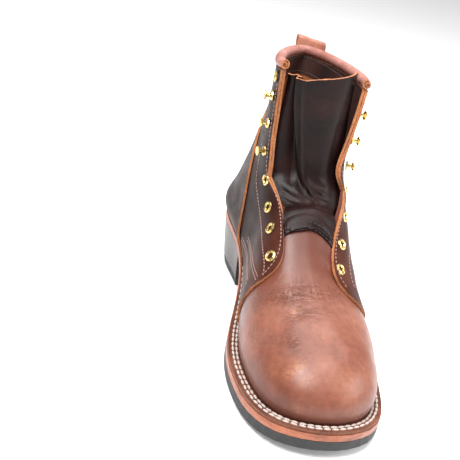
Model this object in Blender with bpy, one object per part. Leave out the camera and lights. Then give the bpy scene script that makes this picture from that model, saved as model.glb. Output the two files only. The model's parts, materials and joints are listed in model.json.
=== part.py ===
# Unlaced work boot for a left foot. The toe points to -Y, the inner side to -X, and it stands on z = 0.

import math
from collections import namedtuple

import bmesh
import bpy
import numpy as np
from mathutils import Matrix, Vector

# Sizes of the sole, in metres
SOLE_LENGTH = 0.308
BALL_WIDTH = 0.117
HEEL_SEAT = 0.046  # floor to the midsole at the back
TOE_SPRING = 0.0066
RUBBER = 0.0085  # half sole of the forefoot
TREAD_DEPTH = 0.0014
TREAD_WIDTH = 0.0026
TREAD_MARGIN = 0.013
MIDSOLE = 0.0052
TOP_LIFT = 0.0072
HEEL_LENGTH = 0.068  # on the floor
HEEL_WIDTH = 0.062
BREAST = 0.071  # the heel's front edge on the floor, behind the middle of the sole
BREAST_SLANT = 0.007
INSOLE = 0.0026
INSOLE_PLAY = 0.0009  # between the insole and the upper's wall
THINS_FROM = -0.020  # where the half sole starts to thin, from the middle of the sole
RUBBER_END = 0.018
RUBBER_EDGE = 0.0018
SOLE_ROUND = 0.0012
TREAD_FROM = -0.128
TREAD_TO = -0.025
TREAD_PITCH = 0.0085
HEEL_OVERHANG = 0.0015  # of the midsole behind the heel's top
EDGE_INSET = 0.0006  # of the turned-out edge from the sole's edge

# Sizes of the upper
WALL = 0.002
FLANGE = 0.0022  # the upper's edge, turned out over the midsole
FLANGE_WIDTH = 0.0095  # at the forefoot
INSTEP_HEIGHT = 0.142
SHAFT_HEIGHT = 0.213
SHAFT_WIDTH = 0.082
SHAFT_LENGTH = 0.118
QUARTER = 0.0021
COUNTER = 0.0018
COLLAR_ROLL = 0.0086
TONGUE = 0.0018
GAP = 0.0003  # between pieces that meet

# Sizes of the hardware
EYELET_RADIUS = 0.0048
EYELET_HOLE = 0.0024
EYELET_RISE = 0.0011
HOOK_RADIUS = 0.0041
HOOK_NECK = 0.0016
HOOK_RISE = 0.0068
LOOP_WIDTH = 0.020
LOOP_RISE = 0.006  # over the collar roll
LOOP_STRIP = 0.0018
LOOP_EYE = 0.0032
LOOP_SEWN = 0.034
LOOP_PLAY = 0.0005
BACK_STRIP = 0.025
OVERLAY_CLEAR = 0.0008  # overlays end this far over the seam
PLEAT_DEPTH = 0.008
TUCK_PLAY = 0.0012  # between the tucked edges of the tongue and the wall
PLEAT_OVERLAP = 0.003
VAMP_LIFT = 0.03  # start height of the vamp's grid over its straight blend

# Half widths of the sole, as shares of the ball width, along the sole from the toe
Outline = namedtuple("Outline", "along inner outer")
OUTLINE = [
    Outline(0.000, 0.000, 0.000),
    Outline(0.013, 0.188, 0.175),
    Outline(0.032, 0.282, 0.269),
    Outline(0.097, 0.410, 0.406),
    Outline(0.195, 0.470, 0.481),
    Outline(0.276, 0.483, 0.517),
    Outline(0.390, 0.444, 0.506),
    Outline(0.487, 0.376, 0.470),
    Outline(0.584, 0.308, 0.402),
    Outline(0.682, 0.274, 0.342),
    Outline(0.763, 0.282, 0.325),
    Outline(0.877, 0.308, 0.325),
    Outline(0.942, 0.282, 0.291),
    Outline(0.984, 0.154, 0.171),
    Outline(1.000, 0.000, 0.000),
]

# Rise of the sole's seat from the rubber to the heel seat, and width of the turned-out edge
Seat = namedtuple("Seat", "along rise flange")
SEAT = [
    Seat(0.00, 0.00, 1.00),
    Seat(0.25, 0.00, 1.00),
    Seat(0.41, 0.00, 0.95),
    Seat(0.50, 0.09, 0.85),
    Seat(0.58, 0.31, 0.68),
    Seat(0.66, 0.58, 0.55),
    Seat(0.74, 0.78, 0.48),
    Seat(0.84, 0.88, 0.45),
    Seat(1.00, 1.00, 0.42),
]

# The foot's crown line as shares of the instep height and ball width, with the fullness of each side
Crown = namedtuple("Crown", "along height across inner outer")
CROWN = [
    Crown(0.00, 0.400, 0.000, 2.7, 2.7),
    Crown(0.10, 0.420, 0.000, 2.7, 2.7),
    Crown(0.20, 0.464, -0.015, 2.5, 2.4),
    Crown(0.26, 0.512, -0.035, 2.5, 2.1),
    Crown(0.325, 0.588, -0.055, 2.6, 1.7),
    Crown(0.39, 0.680, -0.065, 2.7, 1.55),
    Crown(0.455, 0.780, -0.055, 3.0, 1.8),
    Crown(0.52, 0.880, -0.035, 3.2, 2.5),
    Crown(0.57, 0.985, -0.020, 3.0, 2.8),
    Crown(0.62, 1.000, 0.000, 2.4, 2.4),
    Crown(0.70, 0.850, 0.000, 2.0, 2.0),
    Crown(0.85, 0.600, 0.000, 2.0, 2.0),
    Crown(1.00, 0.560, 0.000, 2.0, 2.0),
]

# The leg: front, widest place and back from the middle of the sole, half width and the back's fullness
Leg = namedtuple("Leg", "height front widest back half fullness")
LEG = [
    Leg(0.17, 0.300, 0.800, 1.180, 0.370, 2.2),
    Leg(0.24, 0.260, 0.780, 1.200, 0.386, 2.2),
    Leg(0.32, 0.220, 0.750, 1.222, 0.392, 2.2),
    Leg(0.42, 0.180, 0.700, 1.212, 0.386, 2.1),
    Leg(0.56, 0.125, 0.530, 1.185, 0.378, 1.9),
    Leg(0.70, 0.100, 0.400, 1.152, 0.385, 1.75),
    Leg(0.85, 0.100, 0.350, 1.135, 0.400, 1.68),
    Leg(0.97, 0.100, 0.345, 1.142, 0.415, 1.65),
    Leg(1.10, 0.100, 0.345, 1.155, 0.420, 1.65),
]
LEG_ACROSS = -0.0035  # the leg stands a little to the inner side
BACK_ACROSS = 0.005  # middle of the back at the collar
BACK_LEAN = 0.0085  # the collar's back stands this far to the outer side of its front
LEAN_FROM = 0.42  # from this share of the shaft's height up
BACK_TOP = 0.945  # the wall's top at the back, as a share of the shaft's height
LEG_FRONT_FULLNESS = 2.4

JOIN_SOFTNESS = 0.0075  # how softly foot and leg run into each other
BULGE = 0.003  # of the upper over its seam
WIDEST = 0.011  # height of that bulge over the seat
HEEL_SLIMMER = 0.75  # share of the bulge that the heel goes without

# Edges drawn on the upper, as shares of the sole length, ball width and shaft height
Edge = namedtuple("Edge", "turn along across height")


def spline(knots, values):
    """A natural cubic curve through the values, returned as a function."""
    x = np.asarray(knots, float)
    y = np.asarray(values, float)
    step = np.diff(x)
    size = len(x)
    matrix = np.eye(size)
    right = np.zeros(size)
    for i in range(1, size - 1):
        matrix[i, i - 1] = step[i - 1]
        matrix[i, i] = 2 * (step[i - 1] + step[i])
        matrix[i, i + 1] = step[i]
        right[i] = 6 * ((y[i + 1] - y[i]) / step[i] - (y[i] - y[i - 1]) / step[i - 1])
    bend = np.linalg.solve(matrix, right)

    def curve(at):
        at = np.clip(np.asarray(at, float), x[0], x[-1])
        k = np.clip(np.searchsorted(x, at, side="right") - 1, 0, size - 2)
        left = at - x[k]
        rest = x[k + 1] - at
        cubic = (bend[k] * rest**3 + bend[k + 1] * left**3) / (6 * step[k])
        start = (y[k] / step[k] - bend[k] * step[k] / 6) * rest
        end = (y[k + 1] / step[k] - bend[k + 1] * step[k] / 6) * left
        return cubic + start + end

    return curve


def column(rows, name):
    """The named column of a table as a smooth function of its first column."""
    return spline([row[0] for row in rows], [getattr(row, name) for row in rows])


def lengths(points):
    """Running length along a chain of points."""
    steps = np.linalg.norm(np.diff(points, axis=0), axis=1)
    return np.concatenate([[0.0], np.cumsum(steps)])


def respaced(points, count, power=1.0):
    """The chain with count points, evenly apart, or closer at its start."""
    run = lengths(points)
    at = run[-1] * np.linspace(0, 1, count) ** power
    return np.stack([np.interp(at, run, points[:, k]) for k in range(points.shape[1])], axis=1)


INNER_MOST = max(row.inner for row in OUTLINE)
OUTER_MOST = max(row.outer for row in OUTLINE)
CENTRE = (OUTER_MOST - INNER_MOST) / 2 * BALL_WIDTH


def along_y(share):
    return (np.asarray(share, float) - 0.5) * SOLE_LENGTH


def share_of(y):
    return np.asarray(y, float) / SOLE_LENGTH + 0.5


def half_outline(side, count):
    """One side of the sole's outline from heel to toe: side is -1 for the inner, 1 for the outer."""
    name = "inner" if side < 0 else "outer"
    rows = np.array([[getattr(row, name) * BALL_WIDTH, along_y(row.along)] for row in OUTLINE])
    closed = np.concatenate([[rows[1] * [-1, 1]], rows, [rows[-2] * [-1, 1]]])
    run = lengths(closed)
    across = spline(run, closed[:, 0])
    along = spline(run, closed[:, 1])
    dense = np.linspace(run[1], run[-2], 600)
    chain = np.stack([across(dense), along(dense)], axis=1)
    chain[:, 0] = np.maximum(chain[:, 0], 0) * side
    return respaced(chain[::-1], count)


def outline_loop(half_count, inset=0.0):
    """The sole's outline as a closed loop from the heel's back, by the outer side, toe and inner side."""
    outer = half_outline(1, half_count + 1)
    inner = half_outline(-1, half_count + 1)
    loop = np.concatenate([outer, inner[::-1][1:-1]])
    tangent = np.roll(loop, -1, axis=0) - np.roll(loop, 1, axis=0)
    tangent /= np.linalg.norm(tangent, axis=1, keepdims=True)
    outward = np.stack([-tangent[:, 1], tangent[:, 0]], axis=1)
    if np.sum(outward * (loop - loop.mean(axis=0))) < 0:
        outward = -outward
    depth = np.asarray(inset, float)
    if depth.ndim == 0:
        depth = np.full(len(loop), float(depth))
    moved = loop - outward * depth[:, None]
    return moved - [CENTRE, 0]


seat_rise = column(SEAT, "rise")
seat_flange = column(SEAT, "flange")
crown_height = column(CROWN, "height")
crown_across = column(CROWN, "across")
crown_inner = column(CROWN, "inner")
crown_outer = column(CROWN, "outer")
leg_front = column(LEG, "front")
leg_back = column(LEG, "back")
leg_half = column(LEG, "half")
leg_widest = column(LEG, "widest")
leg_fullness = column(LEG, "fullness")


def spring(y):
    """Lift of the sole towards the toe."""
    reach = np.clip(1 - share_of(y) / 0.21, 0, 1)
    return TOE_SPRING * reach**2


def midsole_under(y):
    rise = np.maximum(seat_rise(share_of(y)), 0)
    return RUBBER + GAP + spring(y) + rise * (HEEL_SEAT - RUBBER - GAP)


def seat_height(y):
    """Top of the midsole."""
    return midsole_under(y) + MIDSOLE


HALF_TURN = 40  # columns of the sole on each side
ROWS = 20  # of the quarters, from the seam to the collar
THROAT_ROW = 10  # where the vamp's top edge leaves the quarters' front
COUNTER_COLUMNS = 10
QUARTER_COLUMNS = 9
VAMP_COLUMNS = 38
ROW_POWER = 1.3  # rows of the vamp lie closer near the seam
BACK_POWER = 1.1  # and so do those of the quarters
TONGUE_DENSE = 18
ROLL_STATIONS = 18
LOOP = outline_loop(HALF_TURN)
SEAM = outline_loop(HALF_TURN, seat_flange(share_of(LOOP[:, 1])) * FLANGE_WIDTH)
SEAM_TOE = SEAM[HALF_TURN]
SEAM_HEEL = SEAM[0]
TOE_CENTRE = np.array([0.0, along_y(0.195)])
HEEL_CENTRE = np.array([0.0, along_y(0.865)])
DENSE_OUTLINE = outline_loop(300)
DENSE_FLANGE = seat_flange(share_of(DENSE_OUTLINE[:, 1])) * FLANGE_WIDTH
DENSE_SEAM = outline_loop(300, DENSE_FLANGE)


def polar_reach(centre, use):
    """Distance from a centre to the seam, as a function of the angle."""
    away = DENSE_SEAM[use(DENSE_SEAM)] - centre
    angle = np.arctan2(away[:, 0], np.abs(away[:, 1]))
    order = np.argsort(angle)
    angle = angle[order]
    reach = np.linalg.norm(away, axis=1)[order]
    return lambda at: np.interp(at, angle, reach)


def side_reach(side):
    """Distance from the middle to the seam on one side, as a function of y."""
    chain = DENSE_SEAM[DENSE_SEAM[:, 0] * side > 0]
    order = np.argsort(chain[:, 1])
    return lambda y: np.interp(y, chain[order, 1], np.abs(chain[order, 0]))


toe_reach = polar_reach(TOE_CENTRE, lambda p: p[:, 1] <= TOE_CENTRE[1] + 0.002)
heel_reach = polar_reach(HEEL_CENTRE, lambda p: p[:, 1] >= HEEL_CENTRE[1] - 0.002)
inner_reach = side_reach(-1)
outer_reach = side_reach(1)


def foot_value(p):
    """Below zero inside the foot's form, zero on it."""
    x, y, z = p[:, 0], p[:, 1], p[:, 2]
    share = np.clip(share_of(y), 0, 1)
    seat = seat_height(np.clip(y, SEAM_TOE[1], SEAM_HEEL[1])) + FLANGE
    widest = seat + WIDEST
    under = np.clip((widest - z) / WIDEST, 0, 1.6)
    bulge = BULGE * (1 - HEEL_SLIMMER * np.clip((share - 0.68) / 0.2, 0, 1)) * (1 - under**2)
    ridge = crown_across(share) * BALL_WIDTH
    off = x - ridge
    reach = np.where(off < 0, inner_reach(y) + bulge + ridge, outer_reach(y) + bulge - ridge)
    plan = np.abs(off) / np.maximum(reach, 0.004)
    for centre, polar, ahead in ((TOE_CENTRE, toe_reach, -1), (HEEL_CENTRE, heel_reach, 1)):
        dx = x - centre[0] - ridge
        dy = y - centre[1]
        beyond = dy * ahead > 0
        angle = np.arctan2(x - centre[0], np.abs(dy))
        round_plan = np.hypot(x - centre[0], dy) / (polar(angle) + bulge)
        plan = np.where(beyond, round_plan, plan)
    full = np.where(off < 0, crown_inner(share), crown_outer(share))
    top = crown_height(share) * INSTEP_HEIGHT
    rise = np.clip(z - widest, 0, None) / (top - widest)
    value = plan**full + rise**2
    return value ** (1 / 2.2) - 1


def leg_value(p):
    """Below zero inside the leg's form, zero on it."""
    x, y, z = p[:, 0], p[:, 1], p[:, 2]
    height = np.clip(z / SHAFT_HEIGHT, LEG[0].height, LEG[-1].height)
    widest = leg_widest(height) * SHAFT_LENGTH
    ahead = widest - leg_front(height) * SHAFT_LENGTH
    behind = leg_back(height) * SHAFT_LENGTH - widest
    half = leg_half(height) * SHAFT_WIDTH
    deep = np.where(y < widest, ahead, behind)
    full = np.where(y < widest, LEG_FRONT_FULLNESS, leg_fullness(height))
    turned = BACK_LEAN * np.clip((height - LEAN_FROM) / (BACK_TOP - LEAN_FROM), 0, 1)
    middle = LEG_ACROSS + turned * np.clip((y - widest) / deep, 0, 1.2)
    off = np.abs((x - middle) / half)
    return (off**full + np.abs((y - widest) / deep) ** full) ** (1 / full) - 1


def slope(value, p):
    step = 1e-5
    moves = np.concatenate([np.eye(3), -np.eye(3)]) * step
    found = value((p[None] + moves[:, None]).reshape(-1, 3)).reshape(6, -1)
    return ((found[:3] - found[3:]) / (2 * step)).T


def near_distance(value, p):
    steep = np.linalg.norm(slope(value, p), axis=1)
    return value(p) / np.maximum(steep, 1.0)


def form(p):
    """Distance to the outside of the upper, below zero inside it."""
    foot = near_distance(foot_value, p)
    leg = near_distance(leg_value, p)
    low = np.minimum(foot, leg)
    k = JOIN_SOFTNESS
    return low - k * np.log(np.exp((low - foot) / k) + np.exp((low - leg) / k))


def settled(points, rounds=12):
    """The points moved onto the upper's outside, with the outward directions there."""
    p = np.array(points, float)
    for _ in range(rounds):
        g = slope(form, p)
        size = np.maximum(np.sum(g * g, axis=1), 0.05)
        move = (form(p) / size)[:, None] * g
        far = np.linalg.norm(move, axis=1, keepdims=True)
        p = p - move * np.minimum(1, 0.012 / np.maximum(far, 1e-9))
        if far.max() < 2e-6:
            break
    g = slope(form, p)
    return p, g / np.linalg.norm(g, axis=1, keepdims=True)


def side_of(name):
    return -1 if name == "inner" else 1


def table_points(rows, count, first=0.0, last=1.0):
    """Points along an edge table, in metres, evenly apart."""
    turn = [row.turn for row in rows]
    along = spline(turn, [row.along for row in rows])
    across = spline(turn, [row.across for row in rows])
    height = spline(turn, [row.height for row in rows])
    at = np.linspace(first, last, 300)
    chain = np.stack([across(at) * BALL_WIDTH, along_y(along(at)), height(at) * SHAFT_HEIGHT], axis=1)
    return respaced(chain, count)


# Front edge of each quarter, from the collar down the facing to the seam
FACING = {
    "inner": [
        Edge(0.00, 0.606, -0.340, 1.000),
        Edge(0.10, 0.601, -0.330, 0.900),
        Edge(0.22, 0.597, -0.315, 0.800),
        Edge(0.33, 0.592, -0.300, 0.715),
        Edge(0.42, 0.580, -0.283, 0.650),
        Edge(0.49, 0.577, -0.285, 0.600),
        Edge(0.56, 0.535, -0.245, 0.566),
        Edge(0.64, 0.480, -0.220, 0.527),
        Edge(0.72, 0.415, -0.213, 0.475),
        Edge(0.78, 0.372, -0.222, 0.431),
        Edge(0.83, 0.353, -0.262, 0.400),
        Edge(0.88, 0.350, -0.330, 0.360),
        Edge(0.93, 0.372, -0.385, 0.305),
        Edge(1.00, 0.402, -0.360, 0.100),
    ],
    "outer": [
        Edge(0.00, 0.603, 0.225, 0.972),
        Edge(0.10, 0.600, 0.215, 0.880),
        Edge(0.21, 0.592, 0.200, 0.790),
        Edge(0.31, 0.583, 0.188, 0.715),
        Edge(0.39, 0.573, 0.178, 0.655),
        Edge(0.45, 0.573, 0.210, 0.612),
        Edge(0.52, 0.552, 0.230, 0.568),
        Edge(0.58, 0.512, 0.200, 0.540),
        Edge(0.65, 0.461, 0.155, 0.502),
        Edge(0.72, 0.405, 0.120, 0.450),
        Edge(0.78, 0.358, 0.110, 0.405),
        Edge(0.83, 0.328, 0.140, 0.378),
        Edge(0.88, 0.314, 0.205, 0.352),
        Edge(0.93, 0.322, 0.300, 0.310),
        Edge(1.00, 0.360, 0.400, 0.100),
    ],
}
THROAT_TURN = {"inner": 0.665, "outer": 0.66}  # where the vamp's own edge leaves the facing
THROAT_TOP = (-0.030, 0.456, 0.516)  # middle of that edge: across, along and height


def form_line(guess, count, power=1.0):
    """A chain settled on the upper's outside and spaced evenly, or closer at its start."""
    chain = respaced(np.asarray(guess, float), 60)
    for _ in range(2):
        chain, _ = settled(chain)
        chain = respaced(chain, 60)
    chain = respaced(settled(chain)[0], count, power)
    return settled(chain)[0]


def collar_line(side, count):
    """Top of the wall from the middle of the back to the facing."""
    name = "inner" if side < 0 else "outer"
    front = table_points(FACING[name], 2)[0]
    height = BACK_TOP * SHAFT_HEIGHT
    back = np.array([BACK_ACROSS, leg_back(BACK_TOP) * SHAFT_LENGTH, height])
    corner = leg_half(BACK_TOP) * SHAFT_WIDTH - side * (BACK_ACROSS - LEG_ACROSS)
    turn = np.linspace(0, 1, 24)
    x = BACK_ACROSS + side * corner * np.sin(turn * math.pi / 2) ** 0.8
    y = back[1] + (front[1] - back[1]) * turn**1.25
    z = height + (front[2] - height) * turn**1.5
    guess = np.stack([x, y, z], axis=1)
    guess[-1] = front
    return form_line(guess, count)


def back_line(count, power=1.0):
    """Middle of the back from the seam up to the collar."""
    height = np.linspace(seat_height(SEAM_HEEL[1]) + FLANGE, BACK_TOP * SHAFT_HEIGHT, 40)
    share = np.linspace(0, 1, 40)
    x = SEAM_HEEL[0] * (1 - share) + BACK_ACROSS * share
    y = leg_back(height / SHAFT_HEIGHT) * SHAFT_LENGTH
    return form_line(np.stack([x, y, height], axis=1), count, power)


def seam_stations(side, first, last, count):
    """Places on the dense seam loop, between two shares of the sole's length on one side."""
    half = len(DENSE_SEAM) // 2
    y = DENSE_SEAM[: half + 1, 1] if side > 0 else np.roll(DENSE_SEAM[::-1], 1, axis=0)[: half + 1, 1]
    at = np.interp(-along_y(np.array([first, last])), -y, np.arange(half + 1))
    stations = np.linspace(at[0], at[1], count)
    return stations if side > 0 else 2 * half - stations


def loop_points(loop, stations):
    closed = np.concatenate([loop, loop[:1]])
    at = np.arange(len(closed))
    return np.stack([np.interp(stations, at, closed[:, k]) for k in range(2)], axis=1)


def seam_points(stations):
    flat = loop_points(DENSE_SEAM, stations)
    return np.column_stack([flat, seat_height(flat[:, 1]) + GAP + FLANGE])


def blended(bottom, top, back, front, power, lift=0.0):
    """A grid settled on the upper's outside inside four edges, rows from bottom to top."""
    s = np.linspace(0, 1, len(bottom))[None, :, None]
    t = (np.linspace(0, 1, len(back)) ** power)[:, None, None]
    grid = bottom[None] * (1 - t) + top[None] * t + back[:, None] * (1 - s) + front[:, None] * s
    corners = (bottom[0] * (1 - s) + bottom[-1] * s) * (1 - t) + (top[0] * (1 - s) + top[-1] * s) * t
    grid = grid - corners
    grid = grid + np.sin(t * math.pi) * np.sin(s * math.pi) ** 2 * [0, 0, lift]
    for _ in range(3 if lift else 1):
        grid = settled(grid.reshape(-1, 3))[0].reshape(grid.shape)
        if lift:
            for k in range(1, grid.shape[1] - 1):
                chain = np.concatenate([bottom[k][None], grid[1:-1, k], top[k][None]])
                grid[:, k] = respaced(chain, len(chain), ROW_POWER)
    grid[0] = bottom
    grid[-1] = top
    grid[:, 0] = back
    grid[:, -1] = front
    return grid


# Raw front edge of the counter, from the seam up to the collar
COUNTER_EDGE = [
    Edge(0.00, 0.668, 0.330, 0.240),
    Edge(0.14, 0.676, 0.345, 0.320),
    Edge(0.28, 0.690, 0.342, 0.420),
    Edge(0.42, 0.711, 0.338, 0.510),
    Edge(0.54, 0.735, 0.325, 0.600),
    Edge(0.64, 0.780, 0.290, 0.670),
    Edge(0.74, 0.845, 0.205, 0.725),
    Edge(0.84, 0.885, 0.125, 0.790),
    Edge(1.00, 0.900, 0.105, 0.945),
]


def make_grids():
    """The upper's outside in five grids that share their edges: two a side and the vamp."""
    grids = {}
    stations = {}
    back = back_line(ROWS, BACK_POWER)
    fronts = {}
    for name in ("inner", "outer"):
        side = side_of(name)
        foot = FACING[name][-1].along
        throat = THROAT_TURN[name]
        places = seam_stations(side, 1.0, COUNTER_EDGE[0].along, COUNTER_COLUMNS + 1)
        bottom = seam_points(places)
        back[0] = bottom[0]
        stations[name + " back"] = places
        rows = [row._replace(across=row.across * side) for row in COUNTER_EDGE]
        edge = form_line(table_points(rows, 60), ROWS, BACK_POWER)
        collar = collar_line(side, 80)
        near = int(np.argmin(np.abs(collar[:, 0] - BACK_ACROSS - side * BACK_STRIP / 2)))
        top = form_line(collar[: near + 1], COUNTER_COLUMNS + 1)
        top[0] = back[-1]
        edge[0] = bottom[-1]
        edge[-1] = top[-1]
        grids[name + " back"] = blended(bottom, top, back, edge, BACK_POWER)
        places = seam_stations(side, COUNTER_EDGE[0].along, foot, QUARTER_COLUMNS + 1)
        bottom = seam_points(places)
        stations[name + " front"] = places
        top = form_line(collar[near:], QUARTER_COLUMNS + 1)
        low = form_line(table_points(FACING[name], 60, throat, 1)[::-1], THROAT_ROW + 1, ROW_POWER)
        high = form_line(table_points(FACING[name], 40, 0, throat)[::-1], ROWS - THROAT_ROW)
        front = np.concatenate([low[:-1], high])
        front[0] = bottom[-1]
        bottom[0] = edge[0]
        top[0] = edge[-1]
        front[-1] = top[-1]
        fronts[name] = front[: THROAT_ROW + 1]
        grids[name + " front"] = blended(bottom, top, edge, front, BACK_POWER)
    places = np.linspace(stations["outer front"][-1], stations["inner front"][-1], VAMP_COLUMNS + 1)
    bottom = seam_points(places)
    stations["vamp"] = places
    across, along, height = THROAT_TOP
    middle = np.array([across * BALL_WIDTH, along_y(along), height * SHAFT_HEIGHT])
    turn = np.linspace(-1, 1, 25)[:, None]
    left, right = fronts["outer"][-1], fronts["inner"][-1]
    ends = left * (1 - turn) / 2 + right * (1 + turn) / 2
    dip = (middle - (left + right) / 2) * (1 - turn**2)
    top = form_line(ends + dip, VAMP_COLUMNS + 1)
    bottom[0], bottom[-1] = fronts["outer"][0], fronts["inner"][0]
    top[0], top[-1] = left, right
    grids["vamp"] = blended(bottom, top, fronts["outer"], fronts["inner"], ROW_POWER, VAMP_LIFT)
    return grids, stations


def joined(parts, shapes):
    """Grids as one list of points and triangles, shared points merged; shapes say how each square is split."""
    points = np.concatenate([grid.reshape(-1, 3) for grid in parts])
    keys = np.round(points * 1e6).astype(np.int64)
    _, first, index = np.unique(keys, axis=0, return_index=True, return_inverse=True)
    index = index.reshape(-1)
    faces = []
    start = 0
    for grid, shape in zip(parts, shapes):
        rows, columns = grid.shape[:2]
        place = index[start : start + rows * columns].reshape(rows, columns)
        start += rows * columns
        one = np.linalg.norm(shape[1:, 1:] - shape[:-1, :-1], axis=2)
        other = np.linalg.norm(shape[1:, :-1] - shape[:-1, 1:], axis=2)
        for r in range(rows - 1):
            for c in range(columns - 1):
                a, b, d, e = place[r, c], place[r, c + 1], place[r + 1, c + 1], place[r + 1, c]
                if one[r, c] < other[r, c]:
                    faces += [(a, b, d), (a, d, e)]
                else:
                    faces += [(a, b, e), (b, d, e)]
    return points[first], faces, index


def thick_object(name, outer, inner, quads, finish):
    """A closed solid between two copies of a sheet of faces, walled along its free edges."""
    count = len(outer)
    faces = []
    once = {}
    for quad in quads:
        face = [int(i) for i in quad]
        faces.append(tuple(face))
        faces.append(tuple(i + count for i in reversed(face)))
        for a, b in zip(face, face[1:] + face[:1]):
            if (b, a) in once:
                del once[(b, a)]
            else:
                once[(a, b)] = True
    for a, b in once:
        faces.append((b, a, a + count, b + count))
    return new_object(name, np.concatenate([outer, inner]), faces, finish)


def new_object(name, vertices, faces, material):
    mesh = bpy.data.meshes.new(name)
    mesh.from_pydata([tuple(map(float, v)) for v in vertices], [], faces)
    mesh.validate()
    work = bmesh.new()
    work.from_mesh(mesh)
    bmesh.ops.recalc_face_normals(work, faces=work.faces)
    if work.calc_volume(signed=True) < 0:
        bmesh.ops.reverse_faces(work, faces=work.faces)
    work.to_mesh(mesh)
    work.free()
    mesh.shade_smooth()
    mesh.set_sharp_from_angle(angle=math.radians(50))
    thing = bpy.data.objects.new(name, mesh)
    bpy.context.scene.collection.objects.link(thing)
    mesh.materials.append(material)
    return thing


def sheet_object(name, outer, inner, material, closed=False):
    """A solid between two grids of points, rows by columns; closed joins the last column to the first."""
    rows, columns = outer.shape[:2]
    vertices = np.concatenate([outer.reshape(-1, 3), inner.reshape(-1, 3)])
    back = rows * columns
    faces = []
    spans = columns if closed else columns - 1
    for r in range(rows - 1):
        for c in range(spans):
            d = (c + 1) % columns
            a, b = r * columns + c, r * columns + d
            e, f = a + columns, b + columns
            faces.append((a, b, f, e))
            faces.append((back + a, back + e, back + f, back + b))
    for c in range(spans):
        d = (c + 1) % columns
        top = (rows - 1) * columns
        faces.append((c, back + c, back + d, d))
        faces.append((top + c, top + d, back + top + d, back + top + c))
    if not closed:
        for r in range(rows - 1):
            a, b = r * columns, (r + 1) * columns
            faces.append((a, b, back + b, back + a))
            a, b = a + columns - 1, b + columns - 1
            faces.append((a, back + a, back + b, b))
    return new_object(name, vertices, faces, material)


def slab_object(name, rings, first, last, material):
    """A sole layer: rings of the outline from its underside up, between two stations from the heel."""
    half = len(rings[0]) // 2
    outer = list(range(first, last + 1))
    inner = [(2 * half - i) % (2 * half) for i in outer]
    order = outer + [i for i in reversed(inner) if i not in outer]
    size = len(order)
    vertices = np.concatenate([ring[order] for ring in rings])
    place = {i: k for k, i in enumerate(order)}
    faces = []
    for r in range(len(rings) - 1):
        for k in range(size):
            a, b = r * size + k, r * size + (k + 1) % size
            faces.append((a, b, b + size, a + size))
    top = (len(rings) - 1) * size
    for o, p, i, j in zip(outer, outer[1:], inner, inner[1:]):
        quad = []
        for index in (o, p, j, i):
            if place[index] not in quad:
                quad.append(place[index])
        faces.append(tuple(quad[::-1]))
        faces.append(tuple(top + k for k in quad))
    return new_object(name, vertices, faces, material)


def material(name, color, roughness, metallic=0.0):
    made = bpy.data.materials.new(name)
    made.use_nodes = True
    shader = made.node_tree.nodes["Principled BSDF"]
    shader.inputs["Base Color"].default_value = (*color, 1)
    shader.inputs["Roughness"].default_value = roughness
    shader.inputs["Metallic"].default_value = metallic
    return made


def sole_ring(height, inset=0.0):
    """The sole's outline as points in space, at a height that may follow y."""
    loop = outline_loop(HALF_TURN, inset)
    z = height(loop[:, 1]) if callable(height) else np.full(len(loop), height)
    return np.column_stack([loop, z])


def make_outsole(finish):
    """The rubber half sole of the forefoot, thinned out at the waist, with its tread."""

    def top(y):
        return midsole_under(y) - GAP

    def bottom(y):
        back = np.clip((y - THINS_FROM) / (RUBBER_END - THINS_FROM), 0, 1)
        return top(y) - RUBBER + (RUBBER - RUBBER_EDGE) * back

    rings = [
        sole_ring(bottom, SOLE_ROUND),
        sole_ring(lambda y: np.minimum(bottom(y) + SOLE_ROUND, top(y) - RUBBER_EDGE / 3)),
        sole_ring(top),
    ]
    first = int(np.sum(LOOP[: HALF_TURN + 1, 1] > RUBBER_END))
    sole = slab_object("outsole", rings, first, HALF_TURN, finish)
    inside = outline_loop(HALF_TURN, TREAD_MARGIN)
    outer = inside[: HALF_TURN + 1]
    inner = inside[HALF_TURN:]
    cutter = bmesh.new()
    for y in np.arange(TREAD_FROM, TREAD_TO, TREAD_PITCH):
        right = np.interp(-y, -outer[:, 1], outer[:, 0])
        left = np.interp(y, inner[:, 1], inner[:, 0])
        floor = float(bottom(np.array([y]))[0])
        made = bmesh.ops.create_cube(cutter, size=1.0)
        place = Matrix.Translation(((left + right) / 2, y, floor))
        size = Matrix.Diagonal((right - left, TREAD_WIDTH, 2 * TREAD_DEPTH, 1))
        bmesh.ops.transform(cutter, matrix=place @ size, verts=made["verts"])
    mesh = bpy.data.meshes.new("tread_cutter")
    cutter.to_mesh(mesh)
    cutter.free()
    bars = bpy.data.objects.new("tread_cutter", mesh)
    bpy.context.scene.collection.objects.link(bars)
    bars.hide_render = True
    bars.display_type = "WIRE"
    cut = sole.modifiers.new("tread", "BOOLEAN")
    cut.operation = "DIFFERENCE"
    cut.solver = "EXACT"
    cut.object = bars


def make_midsole(finish):
    rings = [sole_ring(midsole_under), sole_ring(seat_height)]
    slab_object("midsole", rings, 0, HALF_TURN, finish)


def make_insole(finish):
    inset = seat_flange(share_of(LOOP[:, 1])) * FLANGE_WIDTH + WALL + INSOLE_PLAY
    low = sole_ring(lambda y: seat_height(y) + GAP, inset)
    high = sole_ring(lambda y: seat_height(y) + GAP + INSOLE, inset)
    slab_object("insole", [low, high], 0, HALF_TURN, finish)


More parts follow.
